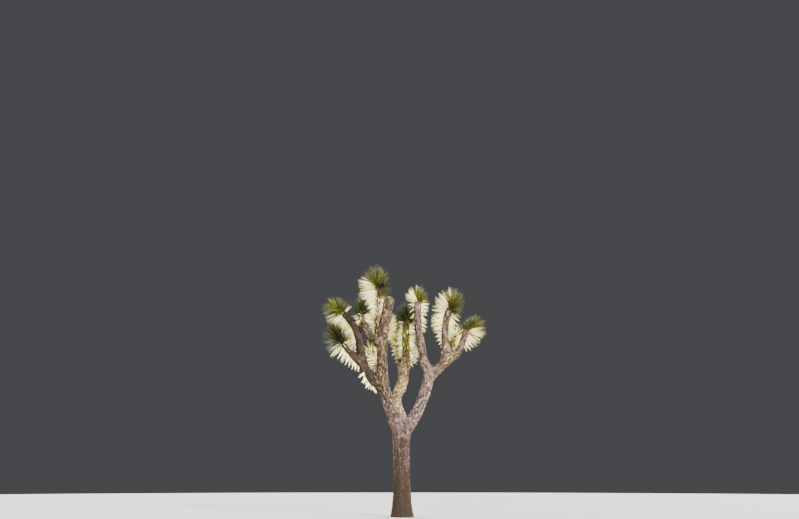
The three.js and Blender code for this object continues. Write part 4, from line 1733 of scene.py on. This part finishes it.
@dataclass(frozen=True)
class Blade:
    """A dagger blade along +X: broad at the base, drawn out to a spine, with a keel below.

    Attributes:
        length: Its length before it is stretched.
        width: How wide it is.
        thickness: How far its keel lies below its edges.
        back: How far its back rises above them, against that.
        steps: How many steps it has along its length.
        bends: How far the tip hangs for each metre, one for each kind of blade.
        early_bend: How much of the bend the middle of its line takes.
        spine_end: The share of its length where its edges would meet.
        drawn_out: How slowly it narrows to there.
        neck: How wide it is at the very base.
    """

    length: float = 0.30
    width: float = 0.0128
    thickness: float = 0.0040
    back: float = 0.3
    steps: int = 3
    bends: tuple[float, ...] = (-0.012, 0.010, 0.035)
    early_bend: float = 0.2
    spine_end: float = 1.02
    drawn_out: float = 0.8
    neck: float = 0.78

    def sizes(self) -> dict[str, float]:
        """What the tree's inputs for the blade hold."""
        return {"Blade Length": self.length, "Blade Width": self.width, "Blade Thickness": self.thickness}

    def solid(self, graph: Graph, given: Outputs, bend: float) -> Wire:
        """One kind of blade.

        Args:
            graph: The geometry tree.
            given: The tree's inputs.
            bend: How far the tip hangs below the line of the base, for each metre.

        Returns:
            The blade as an instance.
        """
        length = given["Blade Length"]
        middle = graph.joined(length * 0.5, 0.0, length * (-bend * self.early_bend))
        end = graph.joined(length, 0.0, length * -bend)
        line = graph.add("GeometryNodeCurveQuadraticBezier", None, {
            "Resolution": self.steps,
            "Start": (0.0, 0.0, 0.0),
            "Middle": middle,
            "End": end,
        })["Curve"]
        upright = graph.add("GeometryNodeSetCurveNormal", {"mode": "Z_UP"}, {"Curve": line})["Curve"]
        share = graph.add("GeometryNodeSplineParameter")["Factor"]
        taper = (self.spine_end - share) ** self.drawn_out * graph.maths("MINIMUM", self.neck + share, 1.0)
        section = graph.add("GeometryNodeCurvePrimitiveQuadrilateral", {"mode": "KITE"}, {
            "Width": given["Blade Width"],
            "Bottom Height": given["Blade Thickness"],
            "Top Height": given["Blade Thickness"] * self.back,
        })["Curve"]
        swept = {"Curve": upright, "Profile Curve": section, "Scale": taper, "Fill Caps": True}
        solid = graph.add("GeometryNodeCurveToMesh", None, swept)["Mesh"]
        return graph.add("GeometryNodeGeometryToInstance", None, {"Geometry": solid})["Instances"]

    def tree(self) -> bpy.types.NodeTree:
        """The geometry tree that puts a blade on every leaf's place.

        Returns:
            The tree.
        """
        inputs = [*((name, "NodeSocketFloat") for name in self.sizes()), ("Material", "NodeSocketMaterial")]
        graph, given = geometry_tree("leaves", inputs)
        kinds = graph.add("GeometryNodeJoinGeometry")
        for bend in self.bends:
            graph.tree.links.new(self.solid(graph, given, bend).socket, kinds.node.inputs[0])
        points = graph.add("GeometryNodeMeshToPoints", None, {"Mesh": given["Geometry"]})["Points"]
        turn = graph.add("FunctionNodeAxesToRotation", {"primary_axis": "X", "secondary_axis": "Z"}, {
            "Primary Axis": named_attribute(graph, "direction", "FLOAT_VECTOR"),
            "Secondary Axis": named_attribute(graph, "face", "FLOAT_VECTOR"),
        })["Rotation"]
        placed = graph.add("GeometryNodeInstanceOnPoints", None, {
            "Points": points,
            "Instance": kinds["Geometry"],
            "Pick Instance": True,
            "Instance Index": named_attribute(graph, "bend", "INT"),
            "Rotation": turn,
            "Scale": named_attribute(graph, "stretch", "FLOAT_VECTOR"),
        })["Instances"]
        close_geometry(graph, placed, given["Material"])
        return graph.tree


@dataclass
class Foliage:
    """All leaves of the tree, one joined piece for each tone.

    Attributes:
        lines: The trunk and limbs.
        rule: How leaves stand.
        tones: How the tones are dealt.
        skirt: The old skirt.
        blade: The leaf's form.
        stem_step: How far apart the points are that stand for a stem.
        width_spread: How much blades differ in width.
        roll_spread: How far they roll on their own line, in radians.
    """

    lines: dict[str, LimbLine]
    rule: LeafRule = field(default_factory=LeafRule)
    tones: ToneRule = field(default_factory=ToneRule)
    skirt: SkirtPlan = field(default_factory=SkirtPlan)
    blade: Blade = field(default_factory=Blade)
    stem_step: float = 0.04
    width_spread: float = 0.35
    roll_spread: float = 0.9

    def stem(self, line: LimbLine, start: float, end: float) -> np.ndarray:
        """Points down the middle of a limb between two shares of its length."""
        count = math.ceil((end - start) * line.length / self.stem_step) + 1
        return line.point(np.linspace(start, end, count))

    def head(self, line: LimbLine, random: np.random.Generator) -> tuple[LeafPlaces, np.ndarray]:
        """The leaves of a limb's head before any is left out for want of room.

        Args:
            line: The limb.
            random: The source of chance.

        Returns:
            The leaves and their tones.
        """
        rule, plan = self.rule, line.plan.head
        sprays = rule.spread(line, rule.sprays, random)
        fine = rule.spread(line, rule.finer, random)
        if plan.pressed:
            coat = rule.spread(line, rule.finer * rule.pressed_finer, random, hanging=True)
            bunches = rule.spread(line, rule.sprays * rule.pressed_finer, random, hanging=True)
            fine, sprays = LeafPlaces.joined([fine, coat]), LeafPlaces.joined([sprays, bunches])
        leaves, spray = rule.gathered(fine, sprays, plan.green)
        own_tones = self.tones.deal(plan, leaves, random)
        spray_tones = self.tones.deal(plan, sprays, random)[spray]
        stray = random.random(len(spray)) < self.tones.strays
        return leaves, np.where(stray | (leaves.depth < plan.dark), own_tones, spray_tones)

    def old_skirt(self, line: LimbLine, random: np.random.Generator) -> tuple[LeafPlaces, np.ndarray]:
        """The leaves of the old skirt before any is left out for want of room.

        Args:
            line: The limb that it hangs from.
            random: The source of chance.

        Returns:
            The leaves and their tones.
        """
        sprays = self.skirt.spread(self.rule, line, self.skirt.sprays, random)
        fine = self.skirt.spread(self.rule, line, self.rule.finer, random)
        leaves, _ = self.rule.gathered(fine, sprays, 0.0)
        return leaves, self.tones.drawn(self.tones.pale_mix, random.random(len(leaves.reach)))

    def grow(self) -> tuple[LeafPlaces, np.ndarray]:
        """Grows every leaf of the tree.

        Returns:
            The leaves and their tones.
        """
        random = np.random.default_rng(SEED)
        leafy = [line for line in self.lines.values() if line.plan.head is not None]
        skirt_line = self.lines[self.skirt.limb]
        stems = [self.stem(line, line.plan.head.start, 1.0) for line in leafy]
        stems.append(self.stem(skirt_line, self.skirt.start, self.skirt.end))
        masses = [*((line, self.head) for line in leafy), (skirt_line, self.old_skirt)]
        grown, dealt = [], []
        for row, (line, leaves_of) in enumerate(masses):
            leaves, tones = leaves_of(line, random)
            others = np.concatenate([stem for other, stem in enumerate(stems) if other != row])
            barks = [other for other in self.lines.values() if other is not line]
            fitted, rows = self.rule.fitted(leaves, stems[row], others, barks)
            grown.append(fitted)
            dealt.append(tones[rows])
        return LeafPlaces.joined(grown), np.concatenate(dealt)

    def piece(
        self,
        name: str,
        material: bpy.types.Material,
        tree: bpy.types.NodeTree,
        leaves: LeafPlaces,
    ) -> bpy.types.Object:
        """One joined piece of leaves of one tone.

        Args:
            name: Its name.
            material: The leaves' finish.
            tree: The geometry tree.
            leaves: Where they go.

        Returns:
            The piece.
        """
        count = len(leaves.reach)
        random = np.random.default_rng([SEED, count])
        points = mesh_object("leaf_places", leaves.root, [])
        roll = self.roll_spread * (random.random(count) - 0.5)[:, None]
        face = leaves.face * np.cos(roll) + np.cross(leaves.direction, leaves.face) * np.sin(roll)
        width = 1.0 + self.width_spread * (random.random(count) - 0.5)
        stretch = np.stack([leaves.reach / self.blade.length, width, np.ones(count)], axis=1)
        store(points.data, "direction", "FLOAT_VECTOR", leaves.direction)
        store(points.data, "face", "FLOAT_VECTOR", face)
        store(points.data, "stretch", "FLOAT_VECTOR", stretch)
        store(points.data, "bend", "INT", random.integers(0, len(self.blade.bends), count))
        plant = points.modifiers.new("leaves", "NODES")
        plant.node_group = tree
        set_inputs(plant, {**self.blade.sizes(), "Material": material})
        return baked(points, name)

    def build(self) -> list[bpy.types.Object]:
        """Builds, dresses and places the leaves.

        Returns:
            The pieces of foliage.
        """
        leaves, tones = self.grow()
        tree = self.blade.tree()
        masses = [name for name in frame["nodes"] if name.startswith("leaves_")]
        made = []
        for number, tone in enumerate(Tone):
            finish = next(finish for finish in LEAF_FINISHES if finish.tone is tone)
            chosen = leaves.kept(np.flatnonzero(tones == number))
            piece = self.piece(f"leaves_{tone.value}", finish.material(), tree, chosen)
            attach(piece, BODY)
            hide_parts(*masses)
            made.append(piece)
        return made


@dataclass(frozen=True)
class SoftLamp:
    """A far, broad lamp.

    Attributes:
        name: Its name.
        azimuth: Where it stands, in degrees from the camera's side towards the right.
        elevation: How high it stands, in degrees.
        strength: How bright it is.
        colour: Its colour.
        breadth: How broad it looks from the tree, in degrees.
    """

    name: str
    azimuth: float
    elevation: float
    strength: float
    colour: Colour
    breadth: float = 24.0

    def build(self) -> None:
        """Hangs the lamp and turns it to the tree."""
        lamp = bpy.data.lights.new(self.name, "SUN")
        lamp.energy = self.strength
        lamp.color = self.colour
        lamp.angle = math.radians(self.breadth)
        hung = bpy.data.objects.new(self.name, lamp)
        hung.rotation_euler = (math.radians(90.0 - self.elevation), 0.0, math.radians(self.azimuth))
        bpy.context.scene.collection.objects.link(hung)


@dataclass
class Studio:
    """The pale floor, the soft light and the camera at the photograph's place.

    Attributes:
        eye: Where the camera stands.
        pitch: How far it looks up, in degrees.
        focal_pixels: Its focal length, in pixels of the photograph.
        frame_width_pixels: The photograph's width in pixels.
        sensor_width: The width of its sensor, in millimetres.
        sight: How far it sees.
        floor_radius: The radius of the round floor.
        floor_corners: How many corners its rim has.
        floor_colour: Its colour.
        floor_shade: How dark its darker patches are, against that.
        floor_patches: How fine they are.
        floor_roughness: How rough it is.
        sky_colour: The colour of the even surround.
        sky_strength: How bright the surround is.
        lamps: The soft lamps.
    """

    eye: Triple = (-0.045, -10.0, 0.5)
    pitch: float = 25.0
    focal_pixels: float = 487.2
    frame_width_pixels: float = 799.0
    sensor_width: float = 36.0
    sight: float = 500.0
    floor_radius: float = 40.0
    floor_corners: int = 96
    floor_colour: Colour = (0.26, 0.257, 0.25)
    floor_shade: float = 0.96
    floor_patches: float = 0.8
    floor_roughness: float = 0.9
    sky_colour: Colour = (0.070, 0.071, 0.076)
    sky_strength: float = 1.0
    lamps: tuple[SoftLamp, ...] = (
        SoftLamp("key", 42.0, 14.0, 22.0, (1.0, 0.98, 0.94)),
        SoftLamp("side", -80.0, 22.0, 9.0, (1.0, 0.98, 0.95)),
        SoftLamp("front", -20.0, 12.0, 7.0, (1.0, 0.98, 0.96)),
        SoftLamp("rim", 125.0, 24.0, 11.0, (1.0, 0.97, 0.90)),
        SoftLamp("back", -145.0, 40.0, 9.0, (1.0, 0.98, 0.94)),
    )

    def floor(self) -> None:
        """A plain pale round floor at ground level."""
        count = self.floor_corners
        angles = np.linspace(0.0, 2.0 * np.pi, count, endpoint=False)
        rim = np.stack([np.cos(angles), np.sin(angles), np.zeros(count)], axis=1) * self.floor_radius
        ground = mesh_object("floor", rim, [tuple(range(count))])
        material, graph = new_material("floor")
        place = graph.add("ShaderNodeTexCoord")["Object"]
        shade = graph.noise(place, self.floor_patches)[0]
        darker = tuple(self.floor_shade * channel for channel in self.floor_colour)
        colour = graph.blend(shade, self.floor_colour, darker)
        close_material(graph, {"Base Color": colour, "Roughness": self.floor_roughness})
        ground.data.materials.append(material)

    def light(self) -> None:
        """An even grey surround and the soft lamps."""
        world = bpy.data.worlds.new("surround")
        world.use_nodes = True
        surround = world.node_tree.nodes["Background"]
        surround.inputs["Color"].default_value = (*self.sky_colour, 1.0)
        surround.inputs["Strength"].default_value = self.sky_strength
        bpy.context.scene.world = world
        for lamp in self.lamps:
            lamp.build()

    def camera(self) -> None:
        """The camera: low, ten metres in front of the tree and pitched up."""
        lens = bpy.data.cameras.new("camera")
        lens.sensor_width = self.sensor_width
        lens.lens = self.focal_pixels / self.frame_width_pixels * self.sensor_width
        lens.clip_end = self.sight
        eye = bpy.data.objects.new("camera", lens)
        eye.location = self.eye
        eye.rotation_euler = (math.radians(90.0 + self.pitch), 0.0, 0.0)
        bpy.context.scene.collection.objects.link(eye)
        bpy.context.scene.camera = eye

    def build(self) -> None:
        """Sets up the studio."""
        self.floor()
        self.light()
        self.camera()


def report(pieces: Sequence[bpy.types.Object]) -> None:
    """Logs each piece with its count of triangles.

    Args:
        pieces: The pieces.
    """
    for piece in pieces:
        triangles = sum(len(face.vertices) - 2 for face in piece.data.polygons)
        LOG.info("%s: %d triangles", piece.name, triangles)


def main() -> None:
    """Builds the studio and the tree."""
    logging.basicConfig(level=logging.INFO, format="%(message)s")
    Studio().build()
    lines = grow_lines()
    report(BarkSkin(lines).build())
    report(Foliage(lines).build())


if __name__ == "__main__":
    main()
